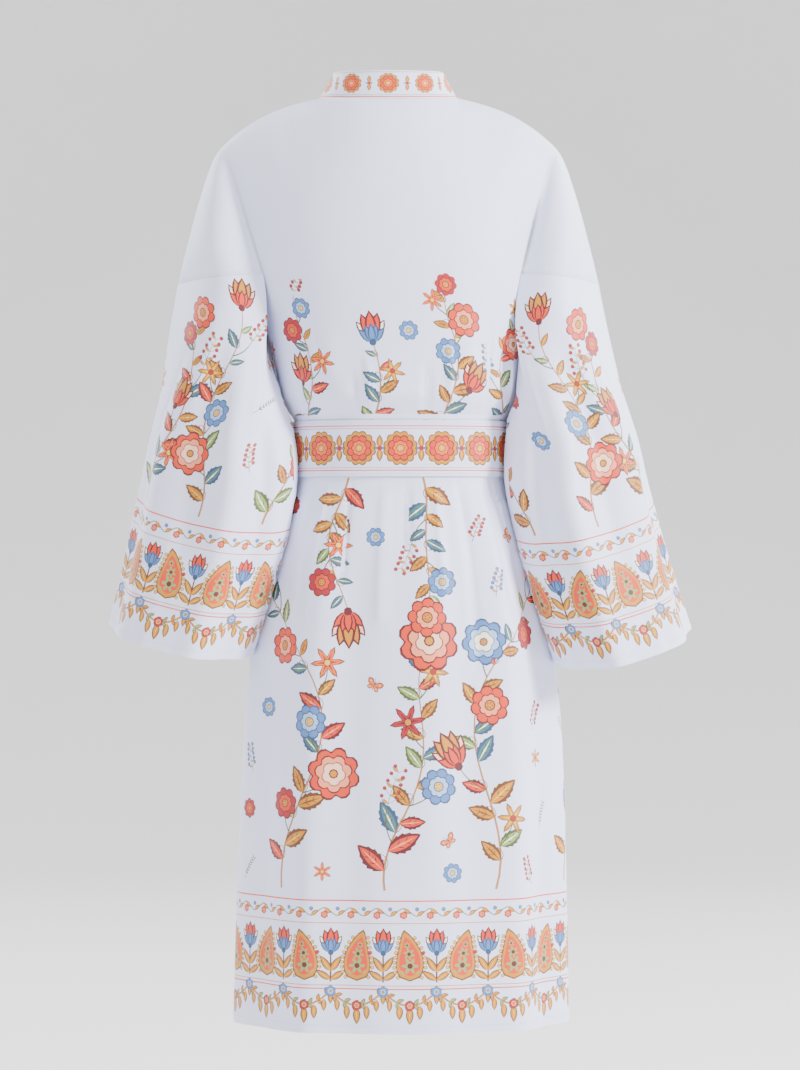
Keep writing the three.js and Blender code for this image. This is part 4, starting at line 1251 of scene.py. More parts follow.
SLEEVE_SPRAYS = (
    (66, 164, -12, 240, 30, 26, 12, 36, (
        (0.2, 1, 30, "star", 19), (0.4, -1, 32, "lily", 34), (0.62, 1, 26, "berries", 42),
        (0.8, -1, 22, "red", 15), (1, 1, 0, "rosette", 20))),
    (150, 164, 8, 260, -26, -22, 12, 36, (
        (0.18, -1, 34, "peony", 27), (0.38, 1, 30, "blue", 18), (0.58, -1, 28, "golden", 18),
        (0.78, 1, 24, "berries", 36), (1, 1, 0, "lily", 34))),
    (238, 164, 4, 190, 16, 20, 10, 32, (
        (0.3, 1, 26, "rosette", 20), (0.62, -1, 26, "blue", 16), (1, 1, 0, "bell", 32))),
    (-40, 164, 8, 230, -20, 24, 11, 34, (
        (0.25, -1, 28, "blue", 18), (0.5, 1, 28, "star", 18), (0.74, -1, 24, "berries", 38),
        (1, 1, 0, "peony", 26))),
    (-140, 164, -6, 220, 20, -22, 11, 34, (
        (0.3, 1, 28, "rosette", 21), (0.6, -1, 26, "berries", 38), (1, 1, 0, "lily", 34))),
    (-240, 164, 0, 180, 12, 18, 10, 30, ((0.4, 1, 24, "red", 17), (1, 1, 0, "bell", 32))),
)


def placed(pr, sprays, side=1):
    """Draws a table of sprays, on their own side or as on the other one."""
    for x, y, angle, length, bend, sway, leaves, size, blooms in sprays:
        blooms = [(part, side * turn, reach, kind, big) for part, turn, reach, kind, big in blooms]
        spray(pr, side * x, y, side * angle, length, side * bend, blooms, side * sway, leaves, size)


def below(shapes, panel):
    """The shapes that stay clear of a panel's upper edge, where its print ends."""
    top = panel.t[-1].min() - PRINT_CLEAR
    return [(points, tone) for points, tone in shapes if points[:, 1].max() < top]


def back_print():
    pr = Print(3)
    border(pr, -330, 330, 10)
    placed(pr, BACK_SPRAYS)
    sprinkle(pr, (-270, 190), (280, 640))
    sprinkle(pr, (-190, 730), (190, 850), 26)
    return pr.shapes


def front_print(side):
    pr = Print(11 + side)
    border(pr, -310, 310, side * 30)
    placed(pr, FRONT_SPRAYS, side)
    sprinkle(pr, (-280, 190), (280, 640))
    return pr.shapes


def sleeve_print(side):
    pr = Print(20 + side)
    border(pr, -420, 420, side * 12)
    placed(pr, SLEEVE_SPRAYS, side)
    sprinkle(pr, (-280, 184), (290, 380))
    return pr.shapes


def straight_print(start, end, middle, tall):
    pr = Print()
    band_print(pr, start, end, middle, tall)
    return pr.shapes


def upright_print(length, wide):
    """The print of a band that runs up the cloth from its foot, round its middle line."""
    return [(points[::-1, ::-1], tone) for points, tone in straight_print(0, length, 0, wide)]


# Shares of the panels: the back's sides up to the creases, its neck, and a front up to its crease
BACK_SIDE = 0.1
NECK_PART = 10 / 24
FRONT_PART = 0.8
BAND_SPLIT = 0.8


def steps(count, *splits):
    """Even steps from 0 to 1 with the splits among them, as pairs of place and share of the count."""
    places = [(0, 0), *splits, (1, 1)]
    found = [np.array([0.0])]
    for (a, share_a), (b, share_b) in zip(places, places[1:]):
        n = max(2, round(count * (share_b - share_a)))
        found.append(np.linspace(a, b, n + 1)[1:])
    return np.concatenate(found)


def neck(side, angle, lift=0.0):
    """The neckband's seam at the back neck, from a side of the neck to its middle."""
    x = TOP_MIDDLE + side * NECK_HALF * np.cos(angle)
    y = NECK_BACK * np.sin(angle) + SEAM_GAP / 2
    return stack(x, y, NECK_SIDE_Z - NECK_DIP * np.sin(angle) + lift)


def back_lower(u, v):
    places = [0, BACK_SIDE, 1 - BACK_SIDE, 1]
    turns = [SEAM_TURN, CREASE_TURN, math.pi - CREASE_TURN, math.pi - SEAM_TURN]
    return body(np.interp(u, places, turns), mix(HEM_Z, ARMHOLE_Z, v))


def back_top(u):
    """The back's upper edge, along one shoulder, round the neck and along the other."""
    across = 1 - 2 * u
    side = np.where(across < 0, -1, 1)
    reach = np.abs(across)
    run = SHOULDER_TIP * (reach - NECK_PART) / (1 - NECK_PART)
    at_neck = neck(side, (1 - np.minimum(reach / NECK_PART, 1)) * HALF)
    return np.where((reach < NECK_PART)[..., None], at_neck, shoulder(run, side, 1))


def arm_crease(points, away, wide, down, to_back):
    """Presses in the crease that runs from each shoulder to the armhole, deepest below its middle."""
    depth = ARM_CREASE * np.exp(-((away / wide) ** 2)) * np.sin(math.pi * np.clip(down, 0, 1) ** CREASE_LOW)
    points[..., 1] -= to_back * depth
    return points


def back_upper(u, v):
    shifts = np.linspace(-SOFTEN, SOFTEN, SOFT_SAMPLES)
    soft = sum(back_top(np.clip(u + shift, 0, 1)) for shift in shifts) / SOFT_SAMPLES
    share = ease(0, SOFT_DOWN, 1 - v) * ease(0, SOFT_IN, u) * ease(1, 1 - SOFT_IN, u)
    top = mix(back_top(u), soft, share[..., None])
    foot = body(mix(CREASE_TURN, math.pi - CREASE_TURN, u), ARMHOLE_Z + 0 * u)
    away = np.minimum(u, 1 - u) * UPPER_WIDE
    return arm_crease(yoke(top, foot, 1 - v), away, CREASE_SOFT, 1 - v, 1)


def cap(side, to_back):
    """The cloth over the upper arm, out to the sleeve's seam."""

    def surface(u, v):
        part = 1 - u if side * to_back > 0 else u
        top = shoulder(mix(SHOULDER_TIP, SHOULDER_END, part), side, to_back)
        points = yoke(top, armhole(part, side, to_back), 1 - v)
        return arm_crease(points, part * CAP_WIDE, CREASE_SHARP, 1 - v, to_back)

    return surface


def front_lower(side):
    crease, seam = (CREASE_TURN, SEAM_TURN) if side > 0 else (math.pi - CREASE_TURN, math.pi - SEAM_TURN)

    def surface(u, v):
        z = mix(HEM_Z, ARMHOLE_Z, v)
        part = u if side > 0 else 1 - u
        edge = front_turn(side * FRONT_SEAM(z)[0], z)
        inner = mix(edge, -crease, part / FRONT_PART)
        outer = mix(-crease, -seam, (part - FRONT_PART) / (1 - FRONT_PART))
        return front(side, np.where(part < FRONT_PART, inner, outer), z)

    return surface


def front_upper(side):
    crease = CREASE_TURN if side > 0 else math.pi - CREASE_TURN

    def surface(u, v):
        part = u if side > 0 else 1 - u
        z = ARMHOLE_Z + 0 * u
        edge = front_turn(side * FRONT_SEAM(z)[0], z)
        foot = front(side, mix(edge, -crease, part), z)
        points = yoke(shoulder(SHOULDER_TIP * part, side, -1), foot, 1 - v)
        return arm_crease(points, (1 - part) * UPPER_WIDE / 3, CREASE_SOFT, 1 - v, -1)

    return surface


def front_band(side):
    """The band sewn to a front's edge, standing up at the neck and flat below."""

    def surface(u, v):
        part = 1 - u if side > 0 else u
        inset = mix(SEAM_GAP, BAND_WIDE, part)
        z = mix(HEM_Z, ARMHOLE_Z, np.minimum(v / BAND_SPLIT, 1))
        across = FRONT_SEAM(z)[0] - inset
        foot = body(front_turn(side * across, z), z, lap_lift(across, side > 0))
        out, y, up = COLLAR_SIDE
        edge = stack(TOP_MIDDLE + side * out, y - SEAM_GAP / 2, up) + 0 * foot
        seam = shoulder(0 * u, side, -1)
        first = mix(seam, edge, np.maximum(part, SEAM_GAP / up)[..., None])
        return yoke(first, foot, 1 - np.maximum(v - BAND_SPLIT, 0) / (1 - BAND_SPLIT))

    return surface


def back_band(u, v):
    across = 1 - 2 * u
    side = np.where(across < 0, -1, 1)
    angle = (1 - np.abs(across)) * HALF
    out, y, up = COLLAR_SIDE
    back_y, back_z = COLLAR_BACK
    edge = stack(
        TOP_MIDDLE + side * out * np.cos(angle),
        mix(y + SEAM_GAP / 2, back_y, np.sin(angle)),
        mix(up, back_z, np.sin(angle)),
    )
    return mix(neck(side, angle, SEAM_GAP), edge, v[..., None])


def sleeve_surface(side):
    def surface(u, v):
        return sleeve(side, u + 0.5 if side > 0 else 0.5 - u, 1 - v)

    return surface


def belt_surface(u, v):
    turn = u * TAU - HALF
    z = mix(BELT_FOOT + 1, BELT_TOP - 1, v)
    flat = body(turn, z)
    lift = OVER_LIFT * ease(LAP_EDGE + LAP_EASE, LAP_EDGE, np.abs(flat[..., 0]))
    return body(turn, z, BELT_LIFT + BELT_CLOTH + np.where(np.sin(turn) < 0, lift, 0))


def tail_surface(name):
    at_knot, at_end, level, end = TAILS[name]
    start = KNOT["z"] - KNOT["half_tall"] - SEAM_GAP
    knot_lift = BELT_LIFT + BELT_CLOTH + SEAM_GAP + KNOT["half_deep"] + TAIL_THICK / 2

    def surface(u, v):
        part = 1 - v
        z = mix(start, end, part)
        wide = TAIL_WIDE * mix(TAIL_GATHER, 1, ease(0, TAIL_SPREAD, part))
        x = mix(at_knot, at_end, part) + wide * (u - 0.5)
        fallen = ease(start, start - TAIL_FALL, z)
        lift = mix(knot_lift, TAIL_THICK + TAIL_LIFT, fallen) + level * TAIL_STACK
        return body(front_turn(x, z), z, OVER_LIFT + lift)

    return surface


# The crepe's grain and its soft sheen
GRAIN_SCALE = 900
GRAIN_DETAIL = 3
GRAIN_BUMP = 0.25
GRAIN_DEPTH = 0.0004
ROUGH_SPREAD = 0.06
SHEEN = 0.2
SHEEN_ROUGHNESS = 0.5


def cloth_material(slot):
    """The crepe of the coat and of its bands: pale, with a fine grain, and the print on top."""
    name = f"{slot}_printed"
    if name in bpy.data.materials:
        return bpy.data.materials[name]
    look = bpy.context.scene.kimono_coat
    mat = bpy.data.materials.new(name)
    mat.use_nodes = True
    nodes, links = mat.node_tree.nodes, mat.node_tree.links
    shader = nodes["Principled BSDF"]
    place = nodes.new("ShaderNodeTexCoord")
    ink = nodes.new("ShaderNodeVertexColor")
    ink.layer_name = PRINT
    blend = nodes.new("ShaderNodeMix")
    blend.data_type = "RGBA"
    blend.inputs["A"].default_value = (*look.cloth_colour, 1)
    links.new(ink.outputs["Color"], blend.inputs["B"])
    links.new(ink.outputs["Alpha"], blend.inputs["Factor"])
    links.new(blend.outputs["Result"], shader.inputs["Base Color"])
    grain = nodes.new("ShaderNodeTexNoise")
    grain.inputs["Scale"].default_value = GRAIN_SCALE
    grain.inputs["Detail"].default_value = GRAIN_DETAIL
    links.new(place.outputs["Object"], grain.inputs["Vector"])
    bump = nodes.new("ShaderNodeBump")
    bump.inputs["Strength"].default_value = GRAIN_BUMP
    bump.inputs["Distance"].default_value = GRAIN_DEPTH
    links.new(grain.outputs["Fac"], bump.inputs["Height"])
    links.new(bump.outputs["Normal"], shader.inputs["Normal"])
    rough = nodes.new("ShaderNodeMapRange")
    rough.inputs["To Min"].default_value = look.roughness - ROUGH_SPREAD
    rough.inputs["To Max"].default_value = look.roughness + ROUGH_SPREAD
    links.new(grain.outputs["Fac"], rough.inputs["Value"])
    links.new(rough.outputs["Result"], shader.inputs["Roughness"])
    shader.inputs["Sheen Weight"].default_value = SHEEN
    shader.inputs["Sheen Roughness"].default_value = SHEEN_ROUGHNESS
    return mat


# Each piece's flat cut in metres and square metres: width, length, area, how it is held and by what
CUTS = {
    "back": (0.84, 1.16, 0.556, "hung", ("neckband_back",)),
    "front_left": (0.335, 1.17, 0.285, "hung", ("back",)),
    "front_right": (0.335, 1.17, 0.292, "hung", ("back",)),
    "sleeve_left": (0.57, 0.476, 0.219, "hung", ("back", "front_left")),
    "sleeve_right": (0.555, 0.486, 0.216, "hung", ("back", "front_right")),
    "neckband_back": (0.037, 0.228, 0.0076, "folded", ("back",)),
    "neckband_left": (0.049, 1.205, 0.0525, "folded", ("front_left",)),
    "neckband_right": (0.05, 1.2, 0.0529, "folded", ("front_right",)),
    "belt": (0.066, 0.734, 0.0484, "stretched", ("back", "front_left")),
    "belt_tail_left": (0.062, 0.344, 0.0207, "hung", ("belt_knot",)),
    "belt_tail_right": (0.064, 0.296, 0.018, "hung", ("belt_knot",)),
}
PANELS = {}

# How many steps the panels' own grids have, and the share of them in the back's sides
BODY_ROWS = 120
BACK_COLUMNS = 72
SIDE_SHARE = 0.12
FRONT_COLUMNS = 40
TOP_ROWS = 26
CAP_COLUMNS = 18
SLEEVE_GRID = (90, 64)
NECK_GRID = (40, 8)
BAND_GRID = (7, 160)
BELT_GRID = (140, 10)
TAIL_GRID = (10, 50)
TINY = 1e-9

# A print ends this far below its panel's edge, and each band's print is set out on its own width
PRINT_CLEAR = 2
BAND_TALL = 50
BELT_TALL = 66
TAIL_TALL = 60
NECK_MIDDLE = 20


def own_cloth(name, parts, slot, thick):
    """Builds a piece from panels that are plain, or printed with shapes."""
    PANELS[name] = [panel for panel, _ in parts]
    cloth = Cloth()
    for panel, shapes in parts:
        if shapes is None:
            panel.plain(cloth)
        else:
            panel.printed(cloth, shapes)
    piece = cloth.build(f"{name}_cloth", thick, slot)
    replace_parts(piece, name)
    width, length, area, held, rests_on = CUTS[name]
    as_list(rests_on)


def make_back(look):
    columns = steps(BACK_COLUMNS, (BACK_SIDE, SIDE_SHARE), (1 - BACK_SIDE, 1 - SIDE_SHARE))
    lower = Panel(back_lower, columns, steps(BODY_ROWS))
    middle = columns[(columns > BACK_SIDE - TINY) & (columns < 1 - BACK_SIDE + TINY)]
    upper = Panel(back_upper, (middle - BACK_SIDE) / (1 - 2 * BACK_SIDE), steps(TOP_ROWS))
    caps = [Panel(cap(side, 1), steps(CAP_COLUMNS), steps(TOP_ROWS)) for side in (1, -1)]
    parts = [(lower, below(back_print(), lower)), (upper, None), *((c, None) for c in caps)]
    own_cloth("back", parts, COAT_SLOT, look.wall / MM)


def make_front(look, side, name):
    share = FRONT_PART if side > 0 else 1 - FRONT_PART
    columns = steps(FRONT_COLUMNS, (share, share))
    lower = Panel(front_lower(side), columns, steps(BODY_ROWS), 0 if side > 0 else 1)
    inner = columns[columns < share + TINY] if side > 0 else columns[columns > share - TINY]
    ends = inner.min(), inner.max()
    upper = Panel(front_upper(side), (inner - ends[0]) / (ends[1] - ends[0]), steps(TOP_ROWS))
    over = Panel(cap(side, -1), steps(CAP_COLUMNS), steps(TOP_ROWS))
    parts = [(lower, below(front_print(side), lower)), (upper, None), (over, None)]
    own_cloth(name, parts, COAT_SLOT, look.wall / MM)


def make_sleeve(look, side, name):
    panel = Panel(sleeve_surface(side), *map(steps, SLEEVE_GRID))
    own_cloth(name, [(panel, sleeve_print(side))], COAT_SLOT, look.wall / MM)


def make_bands(look):
    back = Panel(back_band, *map(steps, NECK_GRID))
    shapes = straight_print(back.s.min(), back.s.max(), NECK_MIDDLE, BAND_TALL)
    own_cloth("neckband_back", [(back, shapes)], BAND_SLOT, look.wall / MM)
    for side, name in ((1, "neckband_left"), (-1, "neckband_right")):
        columns, rows = BAND_GRID
        panel = Panel(front_band(side), steps(columns), steps(rows, (BAND_SPLIT, BAND_SPLIT)))
        own_cloth(name, [(panel, upright_print(panel.t.max(), BAND_TALL))], BAND_SLOT, look.wall / MM)


def make_belt():
    panel = Panel(belt_surface, *map(steps, BELT_GRID))
    shapes = straight_print(panel.s.min(), panel.s.max(), BELT_TALL / 2, BELT_TALL)
    own_cloth("belt", [(panel, shapes)], BAND_SLOT, BELT_CLOTH)


def make_tails():
    for name in TAILS:
        panel = Panel(tail_surface(name), *map(steps, TAIL_GRID))
        own_cloth(name, [(panel, upright_print(panel.t.max(), TAIL_TALL))], BAND_SLOT, TAIL_THICK)


# Stage: a round floor that curves up into a wall, and soft lights
FLOOR_Z = -1.42
STAGE_FLAT = 5.0
STAGE_CURVE = 3.0
STAGE_TOP = 5.0
STAGE_AROUND = 96
STAGE_CURVE_STEPS = 16
STAGE_ROUGHNESS = 0.9
AIM = (0.0, 0.0, -0.55)
CAMERA_PLACE = (-0.006, 4.2, -0.522)
CAMERA_LENS = 117.8
CAMERA_SENSOR = 36

# Each area light's name, place, size and share of the key light's power
LIGHTS = (
    ("key_light", (-4.0, 1.9, 1.3), 0.9, 1.75),
    ("fill_light", (2.4, 4.2, 0.9), 2.4, 0.2),
    ("top_light", (0.3, 0.9, 3.0), 1.8, 0.3),
    ("wall_light", (-3.5, -3.0, 2.4), 3.0, 1.2),
    ("far_wall_light", (3.5, -3.0, 2.4), 3.0, 1.1),
)


def plain_material(name, colour, roughness):
    mat = bpy.data.materials.new(name)
    mat.use_nodes = True
    shader = mat.node_tree.nodes["Principled BSDF"]
    shader.inputs["Base Color"].default_value = (*colour, 1)
    shader.inputs["Roughness"].default_value = roughness
    return mat


def make_stage(look):
    profile = [(0.0, FLOOR_Z), (STAGE_FLAT / 2, FLOOR_Z)]
    for angle in np.linspace(0, HALF, STAGE_CURVE_STEPS):
        r = STAGE_FLAT + STAGE_CURVE * math.sin(angle)
        profile.append((r, FLOOR_Z + STAGE_CURVE * (1 - math.cos(angle))))
    profile.append((STAGE_FLAT + STAGE_CURVE, STAGE_TOP))
    verts, faces = [], []
    turns = np.linspace(0, TAU, STAGE_AROUND, endpoint=False)
    for r, z in profile:
        verts += [(r * math.cos(a), r * math.sin(a), z) for a in turns]
    for i in range(len(profile) - 1):
        for j in range(STAGE_AROUND):
            a, b = i * STAGE_AROUND + j, i * STAGE_AROUND + (j + 1) % STAGE_AROUND
            c, d = b + STAGE_AROUND, a + STAGE_AROUND
            faces.append((a, b, c, d) if i else (a, c, d))
    mesh = bpy.data.meshes.new("backdrop")
    mesh.from_pydata(verts, [], faces)
    mesh.flip_normals()
    mesh.validate()
    mesh.shade_smooth()
    mesh.materials.append(plain_material("backdrop_paint", look.backdrop_colour, STAGE_ROUGHNESS))
    add_object("backdrop", mesh)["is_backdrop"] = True


def make_lights(look):
    world = bpy.data.worlds.new("studio_air")
    bpy.context.scene.world = world
    world.use_nodes = True
    air = world.node_tree.nodes["Background"]
    air.inputs["Color"].default_value = (1, 1, 1, 1)
    air.inputs["Strength"].default_value = look.air
    for name, place, size, share in LIGHTS:
        lamp = bpy.data.lights.new(name, "AREA")
        lamp.energy = look.key_power * share
        lamp.size = size
        light = add_object(name, lamp)
        light.location = place
        light.rotation_euler = (Vector(AIM) - Vector(place)).to_track_quat("-Z", "Y").to_euler()


def make_camera():
    camera = bpy.data.cameras.new("photo_view")
    camera.sensor_width = CAMERA_SENSOR
    camera.lens = CAMERA_LENS
    view = add_object("photo_view", camera)
    view.location = CAMERA_PLACE
    view.rotation_euler = (HALF, 0, math.pi)
    bpy.context.scene.camera = view


def knot_tones(x, z):
    """The tone of each place on the knot: the belt's flower and rules, wound over it on the slant."""
    lean = math.radians(KNOT_LEAN)
    along, across = x * math.cos(lean) + z * math.sin(lean), z * math.cos(lean) - x * math.sin(lean)
    wave = KNOT_PETAL_DEPTH * np.cos(KNOT_PETALS * np.arctan2(across, along))
    reach = np.hypot(along, across) / (1 + wave)
    tones = np.where(np.abs(np.abs(across) - KNOT_RULE) < KNOT_RULE_WIDE / 2, TONE_NAMES.index("coral"), 0)
    for size, tone in zip(KNOT_BLOOM, ("umber", "gold", "coral", "orange", "straw")):
        tones = np.where(reach < size, TONE_NAMES.index(tone), tones)
    return tones


def make_knot():
    """The tie at the front: the belt's cloth wound round itself, with its folds."""
    rings, around = KNOT_GRID
    face = belt_front_y(KNOT["x"], KNOT["z"])
    tilt = np.linspace(-HALF, HALF, rings + 1)[:, None]
    turn = np.linspace(0, TAU, around, endpoint=False)[None, :]
    wrap = 0
    for at, lean, deep in KNOT_TURNS:
        wrap = wrap - deep * np.exp(-(((tilt - at - lean * np.cos(turn)) / KNOT_TURN_WIDE) ** 2))
    n = 2 / KNOT_ROUND
    level = power(np.cos(tilt), n)
    x = KNOT["x"] + (KNOT["half_wide"] + wrap) * power(np.cos(turn), n) * level
    y = face - KNOT["half_deep"] - (KNOT["half_deep"] + wrap) * power(np.sin(turn), n) * level
    z = KNOT["z"] + KNOT["half_tall"] * power(np.sin(tilt), n) + 0 * turn
    points = np.stack([x, np.minimum(y, face), z], -1) * MM
    verts = [tuple(points[0, 0])] + [tuple(p) for p in points[1:-1].reshape(-1, 3)] + [tuple(points[-1, 0])]
    faces = []
    for j in range(around):
        k = (j + 1) % around
        faces.append((0, 1 + k, 1 + j))
        for i in range(rings - 2):
            low = 1 + i * around
            faces.append((low + j, low + k, low + around + k, low + around + j))
        last = 1 + (rings - 2) * around
        faces.append((last + j, last + k, len(verts) - 1))
    mesh = bpy.data.meshes.new("belt_knot_cloth")
    mesh.from_pydata(verts, [], [f[::-1] for f in faces])
    mesh.shade_smooth()
    centre = np.array([tuple(face.center) for face in mesh.polygons]) / MM - (KNOT["x"], 0, KNOT["z"])
    corners = [len(face.vertices) for face in mesh.polygons]
    ink = TONE_VALUES[np.repeat(knot_tones(centre[:, 0], centre[:, 2]), corners)]
    mesh.color_attributes.new(PRINT, "BYTE_COLOR", "CORNER").data.foreach_set("color", ink.ravel())
    mesh.materials.append(cloth_material(BAND_SLOT))
    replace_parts(add_piece("belt_knot_cloth", mesh), "belt_knot")


def belt_front_y(x, z):
    """Where the belt's own face lies at a place on the front."""
    out = OVER_LIFT + BELT_LIFT + BELT_CLOTH + SEAM_GAP
    x, z = np.array(float(x)), np.array(float(z))
    return float(body(front_turn(x, z), z, out)[1])


# Stitches: the thread's radius in metres, how far it stands out, and rows set in from the edges
THREAD_RADIUS = 0.00022
THREAD_LIFT = 0.4
THREAD_ROUGHNESS = 0.5
THREAD_SIDES = 5
STITCH_SHARE = 0.68
ROW_POINTS = 400
ROW_END = 2
HEM_INSET = 9
EDGE_INSET = 3


def stitch_nodes(thread):
    """Geometry Nodes that lay a short thread at even steps along a line, turned to follow it."""
    if "Stitches" in bpy.data.node_groups:
        return bpy.data.node_groups["Stitches"]
    tree = bpy.data.node_groups.new("Stitches", "GeometryNodeTree")
    face = tree.interface
    face.new_socket("Geometry", in_out="INPUT", socket_type="NodeSocketGeometry")
    face.new_socket("Geometry", in_out="OUTPUT", socket_type="NodeSocketGeometry")
    for name in ("Pitch", "Stitch length", "Thread radius"):
        face.new_socket(name, in_out="INPUT", socket_type="NodeSocketFloat")
    new, link = tree.nodes.new, tree.links.new
    start, end = new("NodeGroupInput"), new("NodeGroupOutput")
    curve = new("GeometryNodeMeshToCurve")
    even = new("GeometryNodeResampleCurve")
    even.mode = "LENGTH"
    link(start.outputs["Geometry"], curve.inputs["Mesh"])
    link(curve.outputs["Curve"], even.inputs["Curve"])
    link(start.outputs["Pitch"], even.inputs["Length"])
    bar = new("GeometryNodeMeshCylinder")
    bar.inputs["Vertices"].default_value = THREAD_SIDES
    link(start.outputs["Thread radius"], bar.inputs["Radius"])
    link(start.outputs["Stitch length"], bar.inputs["Depth"])
    way = new("GeometryNodeInputTangent")
    turn = new("FunctionNodeAlignRotationToVector")
    turn.axis = "Z"
    link(way.outputs["Tangent"], turn.inputs["Vector"])
    lay = new("GeometryNodeInstanceOnPoints")
    link(even.outputs["Curve"], lay.inputs["Points"])
    link(bar.outputs["Mesh"], lay.inputs["Instance"])
    link(turn.outputs["Rotation"], lay.inputs["Rotation"])
    real = new("GeometryNodeRealizeInstances")
    link(lay.outputs["Instances"], real.inputs["Geometry"])
    finish = new("GeometryNodeSetMaterial")
    finish.inputs["Material"].default_value = thread
    link(real.outputs["Geometry"], finish.inputs["Geometry"])
    link(finish.outputs["Geometry"], end.inputs["Geometry"])
    return tree


def stitch_lines(look, name, lines):
    """Rows of stitches on a piece; each line is a panel and places on its flat pattern."""
    verts, edges = [], []
    for panel, s, t in lines:
        u, v = panel.locate(*np.broadcast_arrays(np.asarray(s, float), np.asarray(t, float)))
        points = (panel.surface(u, v) + panel.normal(u, v) * THREAD_RADIUS / MM * THREAD_LIFT) * MM
        edges += [(len(verts) + i, len(verts) + i + 1) for i in range(len(points) - 1)]
        verts += [tuple(p) for p in points]
    line = bpy.data.meshes.new(f"{name}_line")
    line.from_pydata(verts, edges, [])
    guide = add_object(f"{name}_line", line)
    thread = bpy.data.materials.get("thread")
    thread = thread or plain_material("thread", look.thread_colour, THREAD_ROUGHNESS)
    modifier = guide.modifiers.new("Stitches", "NODES")
    modifier.node_group = stitch_nodes(thread)
    values = {
        "Pitch": look.stitch_pitch,
        "Stitch length": look.stitch_pitch * STITCH_SHARE,
        "Thread radius": THREAD_RADIUS,
    }
    for item in modifier.node_group.interface.items_tree:
        if item.name in values:
            modifier[item.identifier] = values[item.name]
    view = guide.evaluated_get(bpy.context.evaluated_depsgraph_get())
    mesh = bpy.data.meshes.new_from_object(view)
    mesh.name = f"{name}_stitches"
    bpy.data.objects.remove(guide)
    add_piece(f"{name}_stitches", mesh)


class KimonoCoatSettings(bpy.types.PropertyGroup):
    """Sizes and colours of the coat"""

    cloth_colour: bpy.props.FloatVectorProperty(
        name="Cloth colour",
        description="Ground colour of the crepe",
        default=(0.73, 0.75, 0.97),
        subtype="COLOR",
        min=0,
        max=1,
    )
    roughness: bpy.props.FloatProperty(
        name="Roughness",
        description="How dull the cloth is",
        default=0.56,
        min=0.1,
        max=0.9,
        subtype="FACTOR",
    )
    wall: bpy.props.FloatProperty(
        name="Thickness",
        description="Thickness of the coat's cloth",
        default=0.0012,
        min=0.0005,
        max=0.002,
        unit="LENGTH",
    )
    thread_colour: bpy.props.FloatVectorProperty(
        name="Thread colour",
        description="Colour of the sewing thread",
        default=(0.62, 0.63, 0.72),
        subtype="COLOR",
        min=0,
        max=1,
    )
    stitch_pitch: bpy.props.FloatProperty(
        name="Stitch pitch",
        description="Distance from one stitch to the next",
        default=0.0027,
        min=0.0015,
        max=0.01,
        unit="LENGTH",
    )
    backdrop_colour: bpy.props.FloatVectorProperty(
        name="Backdrop colour",
        description="Paint of the floor and the wall",
        default=(0.86, 0.86, 0.865),
        subtype="COLOR",
        min=0,
        max=1,
    )
    air: bpy.props.FloatProperty(
        name="Air light", description="Strength of the light from all round", default=0.25, min=0, max=3
    )
    key_power: bpy.props.FloatProperty(
        name="Key light", description="Power of the main light in watts", default=300, min=0, max=1000
    )


def stitching(look):
    """Rows of stitches along hems, cuffs, seams and the edges of the bands and the belt."""
    missing = [name for name in CUTS if name not in PANELS]
    if missing:
        raise RuntimeError("the coat's pieces are made before their stitches: " + ", ".join(missing))
    across = np.linspace(0, 1, ROW_POINTS)

    def level(panel, t):
        """A row across a panel at a height on its flat pattern."""
        edge = panel.s[0] if t < panel.t.max() / 2 else panel.s[-1]
        return panel, mix(edge[0], edge[-1], across), t + 0 * across

    def along(panel, inset):
        """A row that runs up a band, inside one of its edges."""
        t = across * (panel.t.max() - 2 * ROW_END) + ROW_END
        rows = np.linspace(0, panel.t.max(), len(panel.v))
        column = panel.s[:, 0] + inset if inset > 0 else panel.s[:, -1] + inset
        return panel, np.interp(t, rows, column), t

    for name, panels in PANELS.items():
        slot = BAND_SLOT if "band" in name or "belt" in name else COAT_SLOT
        lines = []
        if name in ("back", "front_left", "front_right"):
            lines.append(level(panels[0], HEM_INSET))
            lines += [level(panel, EDGE_INSET) for panel in panels[2:]]
        elif name.startswith("sleeve"):
            lines.append(level(panels[0], HEM_INSET))
        elif name in ("belt", "neckband_back"):
            tall = panels[0].t.max()
            lines += [level(panels[0], EDGE_INSET), level(panels[0], tall - EDGE_INSET)]
        else:
            lines += [along(panels[0], EDGE_INSET), along(panels[0], -EDGE_INSET)]
        stitch_lines(look, name, lines)


class COAT_OT_back(bpy.types.Operator):
    """Makes the back panel with the backs of both dropped shoulders"""

    bl_idname = "kimono_coat.back"
    bl_label = "Back"

    def execute(self, context):
        make_back(context.scene.kimono_coat)
        return {"FINISHED"}


class COAT_OT_fronts(bpy.types.Operator):
    """Makes the two wrapped fronts"""

    bl_idname = "kimono_coat.fronts"
    bl_label = "Fronts"

    def execute(self, context):
        make_front(context.scene.kimono_coat, 1, "front_left")
        make_front(context.scene.kimono_coat, -1, "front_right")
        return {"FINISHED"}


class COAT_OT_sleeves(bpy.types.Operator):
    """Makes the two hanging sleeves"""

    bl_idname = "kimono_coat.sleeves"
    bl_label = "Sleeves"

    def execute(self, context):
        make_sleeve(context.scene.kimono_coat, 1, "sleeve_left")
        make_sleeve(context.scene.kimono_coat, -1, "sleeve_right")
        return {"FINISHED"}


class COAT_OT_neckbands(bpy.types.Operator):
    """Makes the standing band at the back neck and the bands down both fronts"""

    bl_idname = "kimono_coat.neckbands"
    bl_label = "Neckbands"

    def execute(self, context):
        make_bands(context.scene.kimono_coat)
        return {"FINISHED"}


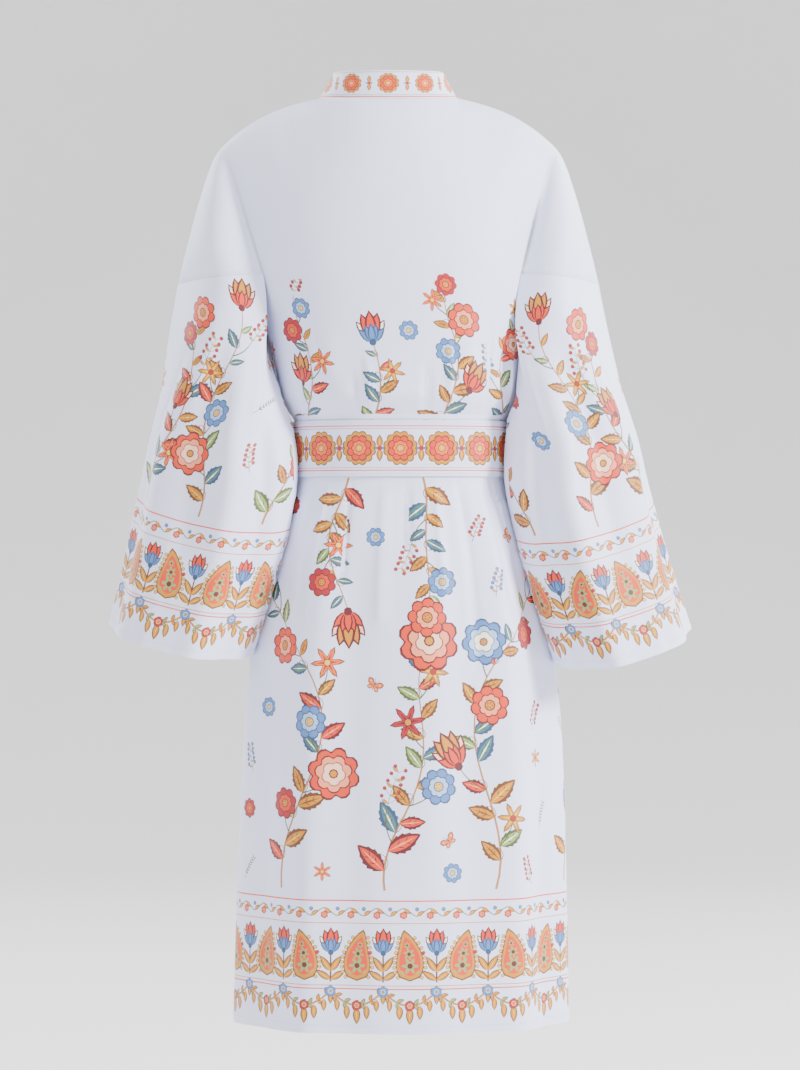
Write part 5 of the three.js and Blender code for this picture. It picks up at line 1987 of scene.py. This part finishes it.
class COAT_OT_belt(bpy.types.Operator):
    """Makes the belt round the waist"""

    bl_idname = "kimono_coat.belt"
    bl_label = "Belt"

    def execute(self, context):
        make_belt()
        return {"FINISHED"}


class COAT_OT_knot(bpy.types.Operator):
    """Makes the belt's tie at the front"""

    bl_idname = "kimono_coat.knot"
    bl_label = "Knot"

    def execute(self, context):
        make_knot()
        return {"FINISHED"}


class COAT_OT_tails(bpy.types.Operator):
    """Makes the belt's two hanging ends"""

    bl_idname = "kimono_coat.tails"
    bl_label = "Belt tails"

    def execute(self, context):
        make_tails()
        return {"FINISHED"}


class COAT_OT_stitches(bpy.types.Operator):
    """Sews the visible rows of stitches"""

    bl_idname = "kimono_coat.stitches"
    bl_label = "Stitches"

    def execute(self, context):
        stitching(context.scene.kimono_coat)
        return {"FINISHED"}


class COAT_OT_stage(bpy.types.Operator):
    """Makes the backdrop, the lights and the camera"""

    bl_idname = "kimono_coat.stage"
    bl_label = "Stage"

    def execute(self, context):
        make_stage(context.scene.kimono_coat)
        make_lights(context.scene.kimono_coat)
        make_camera()
        return {"FINISHED"}


OPERATORS = (
    COAT_OT_back,
    COAT_OT_fronts,
    COAT_OT_sleeves,
    COAT_OT_neckbands,
    COAT_OT_belt,
    COAT_OT_knot,
    COAT_OT_tails,
    COAT_OT_stitches,
    COAT_OT_stage,
)


class COAT_PT_panel(bpy.types.Panel):
    """The coat's settings and the steps that make it"""

    bl_label = "Kimono Coat"
    bl_idname = "COAT_PT_panel"
    bl_space_type = "VIEW_3D"
    bl_region_type = "UI"
    bl_category = "Coat"

    def draw(self, context):
        for name in KimonoCoatSettings.__annotations__:
            self.layout.prop(context.scene.kimono_coat, name)
        for operator in OPERATORS:
            self.layout.operator(operator.bl_idname)


def register():
    for item in (KimonoCoatSettings, *OPERATORS, COAT_PT_panel):
        bpy.utils.register_class(item)
    bpy.types.Scene.kimono_coat = bpy.props.PointerProperty(type=KimonoCoatSettings)


def unregister():
    del bpy.types.Scene.kimono_coat
    for item in (COAT_PT_panel, *reversed(OPERATORS), KimonoCoatSettings):
        bpy.utils.unregister_class(item)


def main():
    register()
    bpy.ops.kimono_coat.back()
    bpy.ops.kimono_coat.fronts()
    bpy.ops.kimono_coat.sleeves()
    bpy.ops.kimono_coat.neckbands()
    bpy.ops.kimono_coat.belt()
    bpy.ops.kimono_coat.knot()
    bpy.ops.kimono_coat.tails()
    bpy.ops.kimono_coat.stitches()
    bpy.ops.kimono_coat.stage()
    boxes = [[list(map(float, corner)) for corner in box] for box in (CAD_BOX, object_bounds())]


if __name__ == "__main__":
    main()
